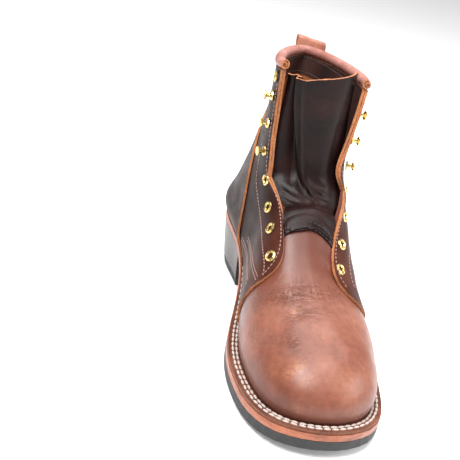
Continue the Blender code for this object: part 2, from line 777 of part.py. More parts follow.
def heel_ring(share, height=None):
    """The heel's outline at a share of its height: undercut behind, narrower on the floor."""
    top_breast = BREAST - BREAST_SLANT
    breast = top_breast + (BREAST - top_breast) * (1 - share)
    spread = share**0.8
    length = HEEL_LENGTH + (SOLE_LENGTH / 2 - HEEL_OVERHANG - top_breast - HEEL_LENGTH) * spread
    wide = np.abs(LOOP[: HALF_TURN // 3, 0]).max() * 2
    narrow = HEEL_WIDTH / wide + (1 - HEEL_WIDTH / wide) * spread
    loop = LOOP.copy()
    reach = np.clip((loop[:, 1] - top_breast) / (LOOP[0, 1] - top_breast), 0, None)
    loop[:, 1] = breast + reach * length
    middle = LEG_ACROSS / 2
    loop[:, 0] = middle + (loop[:, 0] - middle) * narrow
    top = midsole_under(loop[:, 1]) - GAP
    z = top * share if height is None else np.full(len(loop), height)
    return np.column_stack([loop, z])


def make_heel(stack_finish, lift_finish):
    last = int(np.sum(LOOP[: HALF_TURN + 1, 1] > BREAST - BREAST_SLANT))
    lift = TOP_LIFT / HEEL_SEAT
    shares = np.linspace(lift, 1, 6)
    stack = [heel_ring(lift, TOP_LIFT + GAP)] + [heel_ring(share) for share in shares[1:]]
    slab_object("heel_stack", stack, 0, last, stack_finish)
    slab_object("top_lift", [heel_ring(0, 0.0), heel_ring(lift, TOP_LIFT)], 0, last, lift_finish)


def make_upper(grids, stations, finish):
    """One hollow wall from its turned-out edge up to the collar, facings and vamp edge."""
    order = ["inner back", "inner front", "outer back", "outer front", "vamp"]
    parts = [grids[name] if name[0] != "i" else grids[name][:, ::-1] for name in order]
    places = [stations[name] if name[0] != "i" else stations[name][::-1] for name in order]
    outside = [grid.copy() for grid in parts]
    inside = []
    flanges = []
    floors = []
    edge_loop = outline_loop(300, EDGE_INSET)
    middle_loop = outline_loop(300, DENSE_FLANGE / 2)
    foot_loop = outline_loop(300, DENSE_FLANGE + WALL)
    for grid, place in zip(parts, places):
        normal = settled(grid.reshape(-1, 3), 0)[1].reshape(grid.shape)
        wall = grid - normal * WALL
        foot = loop_points(foot_loop, place)
        wall[0] = np.column_stack([foot, seat_height(foot[:, 1]) + GAP])
        inside.append(wall)
        rings = [loop_points(edge_loop, place), loop_points(middle_loop, place)]
        low = [np.column_stack([ring, seat_height(ring[:, 1]) + GAP]) for ring in rings]
        flanges.append(np.stack([ring + [0, 0, FLANGE] for ring in low] + [grid[0]]))
        floors.append(np.stack(low + [wall[0]]))
    shapes = outside + flanges
    points, quads, index = joined(shapes, shapes)
    inner = np.zeros_like(points)
    inner[index] = np.concatenate([grid.reshape(-1, 3) for grid in inside + floors])
    return thick_object("upper", points, inner, quads, finish)


def overlay(parts, middles, low, high):
    """Outer and inner points of a layer over the upper, and its faces; middles are columns down the back."""
    lifted = []
    ways = []
    for grid, middle in zip(parts, middles):
        normal = settled(grid.reshape(-1, 3), 0)[1].reshape(grid.shape)
        if middle is not None:
            normal[:, middle, 0] = 0
            normal[:, middle] /= np.linalg.norm(normal[:, middle], axis=1, keepdims=True)
        grid = grid.copy()
        step = grid[1] - grid[0]
        grid[0] += step * OVERLAY_CLEAR / np.linalg.norm(step, axis=1, keepdims=True)
        normal[0, :, 2] = 0
        normal[0] /= np.linalg.norm(normal[0], axis=1, keepdims=True)
        lifted.append(grid)
        ways.append(normal)
    points, quads, index = joined(lifted, parts)
    normal = np.zeros_like(points)
    normal[index] = np.concatenate([way.reshape(-1, 3) for way in ways])
    return points + normal * high, points + normal * low, quads


def make_quarter(grids, name, finish):
    """A derby quarter with its facing, laid over the upper from the back to its front edge."""
    side = side_of(name)
    parts = [grids[name + " back"].copy(), grids[name + " front"]]
    parts[0][:, 0, 0] += side * GAP / 2
    outer, inner, quads = overlay(parts, (0, None), GAP, GAP + QUARTER)
    return thick_object("quarter_" + name, outer, inner, quads, finish)


def make_counter(grids, finish):
    """The outside counter round the heel, narrowing into a strip up the back."""
    parts = [grids["inner back"][:, ::-1], grids["outer back"]]
    lift = 2 * GAP + QUARTER
    outer, inner, quads = overlay(parts, (None, None), lift, lift + COUNTER)
    return thick_object("counter", outer, inner, quads, finish)


# Rows of the tongue: turns of the two facings, its middle, how far it tucks under them, its depth,
# the place and width of its pleat and its rise over the upper's form
Fold = namedtuple("Fold", "inner outer along height tuck depth pleat open rise")
TONGUE_ROWS = [
    Fold(0.705, 0.690, 0.438, 0.503, -0.0018, 0.0016, 0.50, 0.0, 0),
    Fold(0.680, 0.668, 0.458, 0.519, -0.0018, 0.0016, 0.50, 0.0, 0),
    Fold(0.652, 0.640, 0.478, 0.535, -0.0018, 0.0018, 0.50, 0.0, 0),
    Fold(0.630, 0.612, 0.494, 0.547, -0.0024, 0.0006, 0.50, 0.0, 0),
    Fold(0.612, 0.590, 0.506, 0.557, -0.0014, -0.0050, 0.50, 0.0, 0),
    Fold(0.588, 0.560, 0.516, 0.572, 0.0030, -0.0070, 0.48, 0.0, 0),
    Fold(0.550, 0.515, 0.526, 0.600, 0.0060, -0.0085, 0.46, 0.45, 0),
    Fold(0.490, 0.460, 0.535, 0.635, 0.0085, -0.0100, 0.43, 0.85, 0),
    Fold(0.430, 0.400, 0.540, 0.675, 0.0090, -0.0105, 0.40, 1.0, 0),
    Fold(0.340, 0.320, 0.540, 0.740, 0.0090, -0.0110, 0.36, 1.0, 0),
    Fold(0.230, 0.220, 0.540, 0.820, 0.0090, -0.0110, 0.32, 1.0, 0),
    Fold(0.120, 0.120, 0.540, 0.900, 0.0090, -0.0110, 0.28, 1.0, 0.0025),
    Fold(0.020, 0.015, 0.540, 0.975, 0.0090, -0.0110, 0.25, 1.0, 0.0065),
]


def facing_point(name, turn, tuck):
    rows = FACING[name]
    turns = [row.turn for row in rows]
    keys = ("across", "along", "height")
    at = [float(spline(turns, [getattr(row, key) for row in rows])(turn)) for key in keys]
    point = np.array([at[0] * BALL_WIDTH, along_y(at[1]), at[2] * SHAFT_HEIGHT])
    return settled((point + [side_of(name) * tuck, abs(tuck) * 0.9 * (tuck > 0), 0])[None])[0][0]


def make_tongue(finish):
    """The bellows tongue: sewn over the vamp, folded across, then pleated up behind the facings."""
    centre = []
    for row in TONGUE_ROWS:
        left = facing_point("inner", row.inner, row.tuck)
        right = facing_point("outer", row.outer, row.tuck)
        middle = np.array([-0.003, along_y(row.along), row.height * SHAFT_HEIGHT])
        chain = form_line(np.stack([left, middle, right]), 60)
        chain, normal = settled(chain)
        overlap = PLEAT_OVERLAP * (1.5 * row.open - 0.5)
        total = lengths(chain)[-1]
        edge = overlap / total
        deep = row.open * PLEAT_DEPTH
        share = np.concatenate([
            np.linspace(0, row.pleat + edge, 7),
            np.linspace(row.pleat + edge, row.pleat - edge, 4)[1:-1],
            np.linspace(row.pleat - edge, 1, 10),
        ])
        depth = np.concatenate([np.full(7, deep), np.linspace(deep, 0, 4)[1:-1], np.zeros(10)])
        tucked = row.tuck > 0
        near = np.minimum(np.clip(share / 0.16, 0, 1), np.clip((1 - share) / 0.16, 0, 1))
        ease = near * near * (3 - 2 * near)
        play = TUCK_PLAY + min(row.rise, 0.0035)
        side_depth = -(WALL + TONGUE / 2 + play) if tucked else row.depth
        offset = side_depth * (1 - ease) + (row.depth - depth) * ease
        at = share * 59
        place = np.stack([np.interp(at, np.arange(60), chain[:, k]) for k in range(3)], axis=1)
        facing = np.stack([np.interp(at, np.arange(60), normal[:, k]) for k in range(3)], axis=1)
        centre.append(place + facing * offset[:, None] + [0, 0, row.rise])
    centre = np.array(centre)
    rows = np.linspace(0, len(centre) - 1, TONGUE_DENSE)
    flat = centre.reshape(len(centre), -1)
    dense = np.stack([spline(range(len(centre)), flat[:, k])(rows) for k in range(flat.shape[1])], axis=1)
    grid = dense.reshape(TONGUE_DENSE, -1, 3)
    up = np.gradient(grid, axis=0)
    across = np.gradient(grid, axis=1)
    normal = np.cross(across, up)
    normal /= np.linalg.norm(normal, axis=2, keepdims=True)
    return sheet_object("tongue", grid + normal * TONGUE / 2, grid - normal * TONGUE / 2, finish)


def tube_object(name, path, radii, sides, finish, up):
    """A tube round a path, with flat ends; radii holds its half sizes sideways and upwards."""
    tangent = np.gradient(path, axis=0)
    tangent /= np.linalg.norm(tangent, axis=1, keepdims=True)
    side = np.cross(tangent, up)
    side /= np.linalg.norm(side, axis=1, keepdims=True)
    rise = np.cross(side, tangent)
    angle = np.arange(sides) * 2 * math.pi / sides
    ring = side[:, None] * (np.cos(angle) * radii[0])[None, :, None]
    ring = ring + rise[:, None] * (np.sin(angle) * radii[1])[None, :, None]
    points = path[:, None] + ring
    vertices = points.reshape(-1, 3)
    faces = []
    for r in range(len(path) - 1):
        for k in range(sides):
            a, b = r * sides + k, r * sides + (k + 1) % sides
            faces.append((a, b, b + sides, a + sides))
    last = (len(path) - 1) * sides
    faces.append(tuple(range(sides))[::-1])
    faces.append(tuple(last + k for k in range(sides)))
    return new_object(name, vertices, faces, finish)


def make_collar_roll(finish):
    inner = collar_line(-1, ROLL_STATIONS)
    outer = collar_line(1, ROLL_STATIONS)
    path = np.concatenate([inner[::-1], outer[1:]])
    _, normal = settled(path)
    radius = COLLAR_ROLL / 2
    path = path + normal * (QUARTER - WALL + GAP) / 2 + [0, 0, radius + GAP]
    tube_object("collar_roll", path, (radius, radius), 10, finish, np.array([0, 0, 1.0]))


def make_pull_loop(finish):
    """A strip folded into a loop, sewn to the back strip and standing over the collar."""
    back = back_line(60)
    top = BACK_TOP * SHAFT_HEIGHT + COLLAR_ROLL
    outside = 2 * GAP + QUARTER + COUNTER
    rows = []
    layer = LOOP_STRIP + GAP
    hang = np.linspace(top - LOOP_SEWN, top - LOOP_RISE * 0.2, 6)
    turn = np.linspace(0, math.pi, 9)[1:-1]
    crest = top + LOOP_RISE - LOOP_EYE
    for z in hang:
        open_share = np.clip((z - (top - LOOP_SEWN * 0.55)) / (LOOP_SEWN * 0.55), 0, 1)
        rows.append((GAP + LOOP_STRIP / 2 + COLLAR_ROLL * 0.42 * open_share, z))
    first = rows[-1][0]
    for a in turn:
        rows.append((first + LOOP_EYE * (1 - math.cos(a)), crest + LOOP_EYE * math.sin(a)))
    for z in hang[::-1]:
        open_share = np.clip((z - (top - LOOP_SEWN * 0.55)) / (LOOP_SEWN * 0.55), 0, 1)
        inner = GAP + LOOP_STRIP / 2 + COLLAR_ROLL * 0.42 * open_share
        rows.append((inner + layer + (2 * LOOP_EYE - layer) * open_share, z))
    profile = np.array(rows)
    across = np.linspace(-LOOP_WIDTH / 2, LOOP_WIDTH / 2, 7)
    height = np.clip(profile[:, 1], None, BACK_TOP * SHAFT_HEIGHT)
    grid = []
    for x in across:
        y = np.interp(height, back[:, 2], back[:, 1])
        guess = np.column_stack([np.full(len(height), BACK_ACROSS + x), y, height])
        on_back, normal = settled(guess)
        away = (outside + profile[:, 0]) / np.maximum(normal[:, 1], 0.6) + LOOP_PLAY
        grid.append(np.column_stack([np.full(len(height), BACK_ACROSS + x), on_back[:, 1] + away, profile[:, 1]]))
    grid = np.array(grid).transpose(1, 0, 2)
    along = np.gradient(grid, axis=0)
    side = np.gradient(grid, axis=1)
    normal = np.cross(side, along)
    normal /= np.linalg.norm(normal, axis=2, keepdims=True)
    half = LOOP_STRIP / 2
    sheet_object("pull_loop", grid + normal * half, grid - normal * half, finish)


Stud = namedtuple("Stud", "kind along across height")
STUDS = {
    "inner": [
        Stud("eyelet", 0.393, -0.292, 0.416),
        Stud("eyelet", 0.4675, -0.278, 0.472),
        Stud("eyelet", 0.531, -0.282, 0.512),
        Stud("eyelet", 0.584, -0.299, 0.587),
        Stud("hook", 0.620, -0.312, 0.681),
        Stud("hook", 0.633, -0.321, 0.784),
        Stud("hook", 0.636, -0.329, 0.890),
        Stud("eyelet", 0.633, -0.338, 0.965),
    ],
    "outer": [
        Stud("eyelet", 0.377, 0.180, 0.400),
        Stud("eyelet", 0.445, 0.218, 0.451),
        Stud("eyelet", 0.513, 0.274, 0.521),
        Stud("eyelet", 0.575, 0.278, 0.592),
        Stud("hook", 0.610, 0.248, 0.667),
        Stud("hook", 0.623, 0.252, 0.765),
        Stud("hook", 0.630, 0.252, 0.864),
        Stud("eyelet", 0.633, 0.244, 0.940),
    ],
}


def turned_mesh(name, profile, sides, finish, closed):
    """A turned shape from (radius, height) pairs; closed joins the last pair to the first."""
    vertices = []
    for radius, height in profile:
        for k in range(sides if radius > 0 else 1):
            a = 2 * math.pi * k / sides
            vertices.append((radius * math.cos(a), radius * math.sin(a), height))
    starts = np.concatenate([[0], np.cumsum([sides if r > 0 else 1 for r, _ in profile])])
    faces = []
    pairs = list(zip(range(len(profile) - 1), range(1, len(profile))))
    if closed:
        pairs.append((len(profile) - 1, 0))
    for p, q in pairs:
        for k in range(sides):
            n = (k + 1) % sides
            a = [starts[p] + k, starts[p] + n] if profile[p][0] > 0 else [starts[p]]
            b = [starts[q] + n, starts[q] + k] if profile[q][0] > 0 else [starts[q]]
            faces.append([int(i) for i in a + b])
    made = new_object(name, vertices, faces, finish)
    mesh = made.data
    bpy.data.objects.remove(made)
    return mesh


def make_hardware(finish):
    eyelet = turned_mesh("eyelet", [
        (EYELET_HOLE, 0.0),
        (EYELET_RADIUS, 0.0),
        (EYELET_RADIUS * 0.94, EYELET_RISE * 0.55),
        (EYELET_RADIUS * 0.74, EYELET_RISE),
        (EYELET_HOLE * 1.15, EYELET_RISE * 0.7),
    ], 12, finish, True)
    hook = turned_mesh("hook", [
        (0.0, 0.0),
        (HOOK_RADIUS, 0.0),
        (HOOK_RADIUS * 0.92, HOOK_RISE * 0.14),
        (HOOK_NECK, HOOK_RISE * 0.30),
        (HOOK_NECK, HOOK_RISE * 0.62),
        (HOOK_RADIUS * 0.93, HOOK_RISE * 0.80),
        (HOOK_RADIUS * 0.93, HOOK_RISE * 0.93),
        (0.0, HOOK_RISE),
    ], 10, finish, False)
    for name, studs in STUDS.items():
        counts = {"eyelet": 0, "hook": 0}
        for stud in studs:
            counts[stud.kind] += 1
            guess = [stud.across * BALL_WIDTH, along_y(stud.along), stud.height * SHAFT_HEIGHT]
            point, normal = settled(np.array([guess]))
            seat = point[0] + normal[0] * (2 * GAP + QUARTER)
            made = bpy.data.objects.new(
                f"{stud.kind}_{name}_{counts[stud.kind]}", eyelet if stud.kind == "eyelet" else hook
            )
            bpy.context.scene.collection.objects.link(made)
            made.location = Vector(seat)
            made.rotation_mode = "QUATERNION"
            made.rotation_quaternion = Vector((0, 0, 1)).rotation_difference(Vector(normal[0]))


def centre_on_origin():
    """Moves everything so that the whole boot's box is centred across and along."""
    bpy.context.view_layer.update()
    shown = [thing for thing in bpy.data.objects if not thing.hide_render]
    corners = np.array([thing.matrix_world @ Vector(corner) for thing in shown for corner in thing.bound_box])
    middle = (corners.min(axis=0) + corners.max(axis=0)) / 2
    for thing in bpy.data.objects:
        thing.location.x -= middle[0]
        thing.location.y -= middle[1]


def main():
    for thing in list(bpy.data.objects):
        bpy.data.objects.remove(thing)
    vamp = material("vamp leather", (0.20, 0.065, 0.035), 0.42)
    dark = material("quarter leather", (0.075, 0.025, 0.018), 0.40)
    soft = material("tongue leather", (0.045, 0.018, 0.016), 0.38)
    rubber = material("rubber", (0.03, 0.031, 0.035), 0.55)
    natural = material("sole leather", (0.42, 0.13, 0.06), 0.50)
    stacked = material("heel leather", (0.018, 0.011, 0.010), 0.22)
    trim = material("collar leather", (0.42, 0.20, 0.17), 0.40)
    brass = material("brass", (0.80, 0.62, 0.28), 0.22, 1.0)
    make_outsole(rubber)
    make_midsole(natural)
    make_heel(stacked, rubber)
    make_insole(natural)
    grids, stations = make_grids()
    make_upper(grids, stations, vamp)
    make_quarter(grids, "inner", dark)
    make_quarter(grids, "outer", dark)
    make_counter(grids, dark)
    make_tongue(soft)
    make_collar_roll(trim)
    make_pull_loop(trim)
    make_hardware(brass)
    centre_on_origin()


if __name__ == "__main__":
    main()
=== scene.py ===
import bpy
import bmesh
import json
import math
import random
import numpy as np
from mathutils import Matrix, Vector, noise
from mathutils.bvhtree import BVHTree

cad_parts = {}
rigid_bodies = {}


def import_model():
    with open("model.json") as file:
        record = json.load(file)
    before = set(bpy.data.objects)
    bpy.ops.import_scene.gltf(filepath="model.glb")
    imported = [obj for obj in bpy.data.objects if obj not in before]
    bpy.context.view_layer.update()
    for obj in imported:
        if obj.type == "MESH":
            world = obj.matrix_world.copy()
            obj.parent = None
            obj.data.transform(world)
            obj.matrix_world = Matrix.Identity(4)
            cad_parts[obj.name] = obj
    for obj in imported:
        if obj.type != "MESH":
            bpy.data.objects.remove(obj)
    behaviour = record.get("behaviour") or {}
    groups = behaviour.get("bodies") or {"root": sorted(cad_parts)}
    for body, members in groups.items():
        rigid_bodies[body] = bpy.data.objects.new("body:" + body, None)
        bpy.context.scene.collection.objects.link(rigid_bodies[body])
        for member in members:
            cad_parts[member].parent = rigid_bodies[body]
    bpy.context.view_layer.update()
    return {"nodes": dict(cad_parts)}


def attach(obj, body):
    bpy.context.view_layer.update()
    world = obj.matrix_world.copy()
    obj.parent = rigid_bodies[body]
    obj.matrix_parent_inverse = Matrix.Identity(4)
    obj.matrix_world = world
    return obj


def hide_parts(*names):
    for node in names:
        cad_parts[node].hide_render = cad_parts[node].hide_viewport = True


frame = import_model()
nodes = frame["nodes"]
random.seed(7)
sharpAngle = math.radians(50)
mergeGap = 0.00002


def eased(share):
    return share * share * (3 - 2 * share)


def setInputs(node, values):
    for name, value in values.items():
        node.inputs[name].default_value = value


def newMaterial(name):
    material = bpy.data.materials.new(name)
    material.use_nodes = True
    tree = material.node_tree
    shader = tree.nodes["Principled BSDF"]
    place = tree.nodes.new("ShaderNodeTexCoord").outputs["Object"]
    return material, tree, shader, place


def noiseNode(tree, place, scale, detail=3.0, rough=0.55, stretch=None):
    grain = tree.nodes.new("ShaderNodeTexNoise")
    setInputs(grain, {"Scale": scale, "Detail": detail, "Roughness": rough})
    if stretch:
        mapping = tree.nodes.new("ShaderNodeMapping")
        mapping.inputs["Scale"].default_value = stretch
        tree.links.new(place, mapping.inputs["Vector"])
        place = mapping.outputs["Vector"]
    tree.links.new(place, grain.inputs["Vector"])
    return grain.outputs["Fac"]


def cellNode(tree, place, scale):
    cells = tree.nodes.new("ShaderNodeTexVoronoi")
    cells.inputs["Scale"].default_value = scale
    tree.links.new(place, cells.inputs["Vector"])
    return cells.outputs["Distance"]


def ramp(tree, value, stops):
    node = tree.nodes.new("ShaderNodeValToRGB")
    band = node.color_ramp
    while len(band.elements) < len(stops):
        band.elements.new(0.5)
    for element, (position, color) in zip(band.elements, stops):
        element.position = position
        element.color = (*color, 1) if len(color) == 3 else color
    tree.links.new(value, node.inputs["Fac"])
    return node.outputs["Color"]


def grey(level):
    return (level, level, level)


def mixColors(tree, share, first, second, blend="MIX"):
    node = tree.nodes.new("ShaderNodeMix")
    node.data_type = "RGBA"
    node.blend_type = blend
    for socket, value in ((node.inputs[0], share), (node.inputs[6], first), (node.inputs[7], second)):
        if hasattr(value, "is_output"):
            tree.links.new(value, socket)
        elif isinstance(value, (int, float)):
            socket.default_value = value
        else:
            socket.default_value = (*value, 1)
    return node.outputs[2]


def bumps(tree, shader, layers):
    # each layer: height output, strength, distance in metres
    normal = None
    for height, strength, distance in layers:
        bump = tree.nodes.new("ShaderNodeBump")
        setInputs(bump, {"Strength": strength, "Distance": distance})
        tree.links.new(height, bump.inputs["Height"])
        if normal:
            tree.links.new(normal, bump.inputs["Normal"])
        normal = bump.outputs["Normal"]
    tree.links.new(normal, shader.inputs["Normal"])


def along(tree, place, axis, low, high):
    # 0 below low, 1 above high, on one axis of the boot
    apart = tree.nodes.new("ShaderNodeSeparateXYZ")
    tree.links.new(place, apart.inputs["Vector"])
    share = tree.nodes.new("ShaderNodeMapRange")
    setInputs(share, {"From Min": low, "From Max": high})
    tree.links.new(apart.outputs[axis], share.inputs["Value"])
    return share.outputs["Result"]


def multiplied(tree, first, second, factor):
    node = tree.nodes.new("ShaderNodeMath")
    node.operation = "MULTIPLY"
    tree.links.new(first, node.inputs[0])
    tree.links.new(second, node.inputs[1])
    scaled = tree.nodes.new("ShaderNodeMath")
    scaled.operation = "MULTIPLY"
    tree.links.new(node.outputs[0], scaled.inputs[0])
    scaled.inputs[1].default_value = factor
    return scaled.outputs[0]


def attributeNode(tree, name):
    node = tree.nodes.new("ShaderNodeAttribute")
    node.attribute_name = name
    return node.outputs["Fac"]


def leather(name, look):
    # pull-up leather: cloudy colour, pale scuffs, pores, fine wrinkles and a waxy coat; where asked, painted
    # shade in the tongue's groove, in the wrinkle lines and low on the toe, and a painted highlight among the
    # scuffs on the toe
    material, tree, shader, place = newMaterial(name)
    extra = []
    clouds = noiseNode(tree, place, look["cloudScale"], 3)
    color = ramp(tree, clouds, [(0.3, look["dark"]), (0.5, look["base"]), (0.72, look["light"])])
    mottle = ramp(tree, noiseNode(tree, place, 260, 4), [(0.35, grey(0.88)), (0.65, grey(1.08))])
    color = mixColors(tree, 1.0, color, mottle, "MULTIPLY")
    streaks = noiseNode(tree, place, 240, 5, 0.7, (0.35, 1.6, 1.6))
    scuffs = ramp(tree, streaks, [(look["scuffFrom"], grey(0)),
                                  (look["scuffFrom"] + 0.1, grey(look["scuffShare"]))])
    color = mixColors(tree, scuffs, color, look["scuff"])
    # painted shade: near black along the tongue's pleat groove
    if "paintsGrooveShade" in look:
        grooveShade = attributeNode(tree, "grooveShade")
        color = mixColors(tree, multiplied(tree, grooveShade, grooveShade, 0.92), color, (0.0015, 0.0008, 0.0008))
    # painted shade: the vamp turns darker towards the bottom, low on the toe's front
    if "low" in look:
        color = mixColors(tree, along(tree, place, "Z", look["lowShadeFrom"], look["lowShadeTo"]), look["low"], color)
    if "back" in look:
        back = along(tree, place, "Y", look["backFrom"], look["backTo"])
        color = mixColors(tree, back, color, look["back"])
    if "marks" in look:
        fine = noiseNode(tree, place, 420, 4, 0.6, (0.17, 1.9, 1.6))
        lines = ramp(tree, fine, [(0.47, grey(0)), (0.58, grey(1))])
        zone = attributeNode(tree, "wrinkled")
        wrinkleLines = multiplied(tree, lines, zone, 1.0)
        # painted shade: the wrinkle lines darken as if shaded in their troughs
        color = mixColors(tree, multiplied(tree, lines, zone, 0.34), color, look["dark"])
        # pale patches: real scuffs, and a painted highlight on the toe
        patch = ramp(tree, noiseNode(tree, place, 330, 5, 0.75), [(0.40, grey(0)), (0.62, grey(1))])
        rubbedAndHighlit = multiplied(tree, patch, attributeNode(tree, "scuffAndHighlight"), 0.8)
        color = mixColors(tree, rubbedAndHighlit, color, look["scuff"])
    tree.links.new(color, shader.inputs["Base Color"])
    rough = ramp(tree, noiseNode(tree, place, 60, 4),
                 [(0.3, grey(look["rough"] - 0.07)), (0.7, grey(look["rough"] + 0.09))])
    tree.links.new(rough, shader.inputs["Roughness"])
    setInputs(shader, {"Coat Weight": look["coat"], "Coat Roughness": look["coatRough"],
                       "Specular IOR Level": look["gloss"]})
    if "marks" in look:
        extra.append((wrinkleLines, 0.7, -0.0007))
    pores = cellNode(tree, place, 1100)
    wrinkles = noiseNode(tree, place, 420, 4, 0.6, look.get("wrinkle", (0.7, 1.5, 1.5)))
    folds = noiseNode(tree, place, 55, 3, 0.5, (0.6, 1.3, 1.3))
    bumps(tree, shader, [(folds, 0.25, 0.0014 * look["fold"]), (wrinkles, 0.3, 0.00045),
                         (pores, 0.22, 0.00018)] + extra)
    return material


def rawEdge(name, base, dark, light):
    # cut leather: fibres and a felted look
    material, tree, shader, place = newMaterial(name)
    color = ramp(tree, noiseNode(tree, place, 900, 4, 0.7), [(0.32, dark), (0.5, base), (0.68, light)])
    clouds = ramp(tree, noiseNode(tree, place, 90, 3), [(0.3, grey(0.75)), (0.7, grey(1.12))])
    color = mixColors(tree, 1.0, color, clouds, "MULTIPLY")
    tree.links.new(color, shader.inputs["Base Color"])
    setInputs(shader, {"Roughness": 0.78, "Sheen Weight": 0.15})
    bumps(tree, shader, [(noiseNode(tree, place, 700, 5, 0.7), 0.7, 0.0006)])
    return material


print("materials")
looks = {
    "vamp": dict(base=(0.235, 0.078, 0.047), dark=(0.120, 0.032, 0.018), light=(0.350, 0.145, 0.096),
                 scuff=(0.50, 0.21, 0.09), scuffFrom=0.70, scuffShare=0.3, cloudScale=17, rough=0.37,
                 coat=0.14, coatRough=0.24, fold=0.6, gloss=0.34, marks=True,
                 back=(0.120, 0.033, 0.019), backFrom=-0.068, backTo=-0.034,
                 # low: painted shade on the lowest part of the vamp
                 low=(0.130, 0.036, 0.020), lowShadeFrom=0.017, lowShadeTo=0.040),
    "flange": dict(base=(0.130, 0.040, 0.022), dark=(0.070, 0.021, 0.012), light=(0.21, 0.075, 0.042),
                   scuff=(0.36, 0.15, 0.08), scuffFrom=0.62, scuffShare=0.5, cloudScale=40, rough=0.5,
                   coat=0.05, coatRough=0.4, fold=0.8, gloss=0.35),
    "quarter": dict(base=(0.072, 0.020, 0.012), dark=(0.034, 0.010, 0.007), light=(0.125, 0.040, 0.025),
                    scuff=(0.28, 0.11, 0.07), scuffFrom=0.66, scuffShare=0.4, cloudScale=26, rough=0.46,
                    coat=0.03, coatRough=0.3, fold=1.0, gloss=0.08,
                    back=(0.017, 0.0065, 0.005), backFrom=-0.035, backTo=0.022),
    "counter": dict(base=(0.022, 0.008, 0.006), dark=(0.011, 0.005, 0.004), light=(0.045, 0.015, 0.010),
                    scuff=(0.16, 0.06, 0.04), scuffFrom=0.70, scuffShare=0.3, cloudScale=24, rough=0.42,
                    coat=0.0, coatRough=0.28, fold=0.8, gloss=0.07),
    "tongue": dict(base=(0.013, 0.0050, 0.0044), dark=(0.006, 0.0028, 0.0026), light=(0.026, 0.0092, 0.0078),
                   scuff=(0.10, 0.035, 0.028), scuffFrom=0.72, scuffShare=0.3, cloudScale=30, rough=0.40,
                   coat=0.0, coatRough=0.35, fold=1.0, gloss=0.2, paintsGrooveShade=True, wrinkle=(1.0, 1.0, 1.0)),
    "lining": dict(base=(0.045, 0.018, 0.015), dark=(0.024, 0.010, 0.008), light=(0.07, 0.028, 0.02),
                   scuff=(0.12, 0.05, 0.04), scuffFrom=0.74, scuffShare=0.2, cloudScale=30, rough=0.5,
                   coat=0.0, coatRough=0.5, fold=0.4, gloss=0.3),
    "collar": dict(base=(0.42, 0.185, 0.150), dark=(0.30, 0.110, 0.085), light=(0.54, 0.28, 0.235),
                   scuff=(0.62, 0.40, 0.35), scuffFrom=0.62, scuffShare=0.5, cloudScale=40, rough=0.5,
                   coat=0.1, coatRough=0.4, fold=0.6, gloss=0.4),
    "loop": dict(base=(0.36, 0.135, 0.085), dark=(0.25, 0.085, 0.052), light=(0.46, 0.195, 0.13),
                 scuff=(0.55, 0.28, 0.19), scuffFrom=0.66, scuffShare=0.4, cloudScale=50, rough=0.5,
                 coat=0.05, coatRough=0.4, fold=0.5, gloss=0.35),
}
leathers = {name: leather(name + "Leather", look) for name, look in looks.items()}
edgeTan = rawEdge("cutEdgeTan", (0.46, 0.155, 0.050), (0.27, 0.080, 0.026), (0.62, 0.26, 0.10))
edgeBrown = rawEdge("cutEdgeBrown", (0.20, 0.065, 0.030), (0.10, 0.032, 0.017), (0.30, 0.11, 0.05))


def liningMaterial():
    # dark facing near the collar, the orange flesh side below it
    material, tree, shader, place = newMaterial("shaftInside")
    edge = along(tree, place, "Z", 0.1835, 0.1850)
    look = looks["lining"]
    band = ramp(tree, noiseNode(tree, place, 30),
                [(0.3, look["dark"]), (0.5, look["base"]), (0.7, look["light"])])
    deep = along(tree, place, "Y", 0.058, 0.066)
    edgeShare = tree.nodes.new("ShaderNodeMath")
    edgeShare.operation = "SUBTRACT"
    edgeShare.inputs[0].default_value = 1
    tree.links.new(edge, edgeShare.inputs[1])
    fleshShare = multiplied(tree, edgeShare.outputs[0], deep, 1.0)
    flesh = ramp(tree, noiseNode(tree, place, 300, 5, 0.7),
                 [(0.3, (0.26, 0.085, 0.032)), (0.5, (0.42, 0.15, 0.055)), (0.7, (0.52, 0.21, 0.085))])
    color = mixColors(tree, fleshShare, band, flesh)
    tree.links.new(color, shader.inputs["Base Color"])
    shader.inputs["Roughness"].default_value = 0.6
    bumps(tree, shader, [(noiseNode(tree, place, 500, 5, 0.65), 0.4, 0.0004)])
    return material


def midsoleMaterial():
    # russet edge of the leather midsole, with faint layers
    material, tree, shader, place = newMaterial("midsoleEdge")
    color = ramp(tree, noiseNode(tree, place, 70, 4, 0.6, (1, 1, 5)),
                 [(0.3, (0.24, 0.058, 0.021)), (0.52, (0.42, 0.112, 0.043)), (0.75, (0.52, 0.175, 0.078))])
    fibres = ramp(tree, noiseNode(tree, place, 420, 5, 0.7, (1, 1, 4)),
                  [(0.3, grey(0.72)), (0.65, grey(1.1))])
    color = mixColors(tree, 1.0, color, fibres, "MULTIPLY")
    tree.links.new(color, shader.inputs["Base Color"])
    setInputs(shader, {"Roughness": 0.45, "Coat Weight": 0.3, "Coat Roughness": 0.35})
    bumps(tree, shader, [(noiseNode(tree, place, 300, 4, 0.6, (1, 1, 6)), 0.4, 0.0004)])
    return material


def rubberMaterial(name, base, light):
    material, tree, shader, place = newMaterial(name)
    color = ramp(tree, noiseNode(tree, place, 180, 5, 0.7), [(0.3, base), (0.7, light)])
    dust = ramp(tree, noiseNode(tree, place, 1300, 3, 0.6), [(0.55, grey(0)), (0.75, grey(0.35))])
    color = mixColors(tree, dust, color, (0.12, 0.113, 0.108))
    tree.links.new(color, shader.inputs["Base Color"])
    shader.inputs["Roughness"].default_value = 0.62
    bumps(tree, shader, [(noiseNode(tree, place, 700, 4), 0.35, 0.0003),
                         (noiseNode(tree, place, 60, 3), 0.2, 0.001)])
    return material


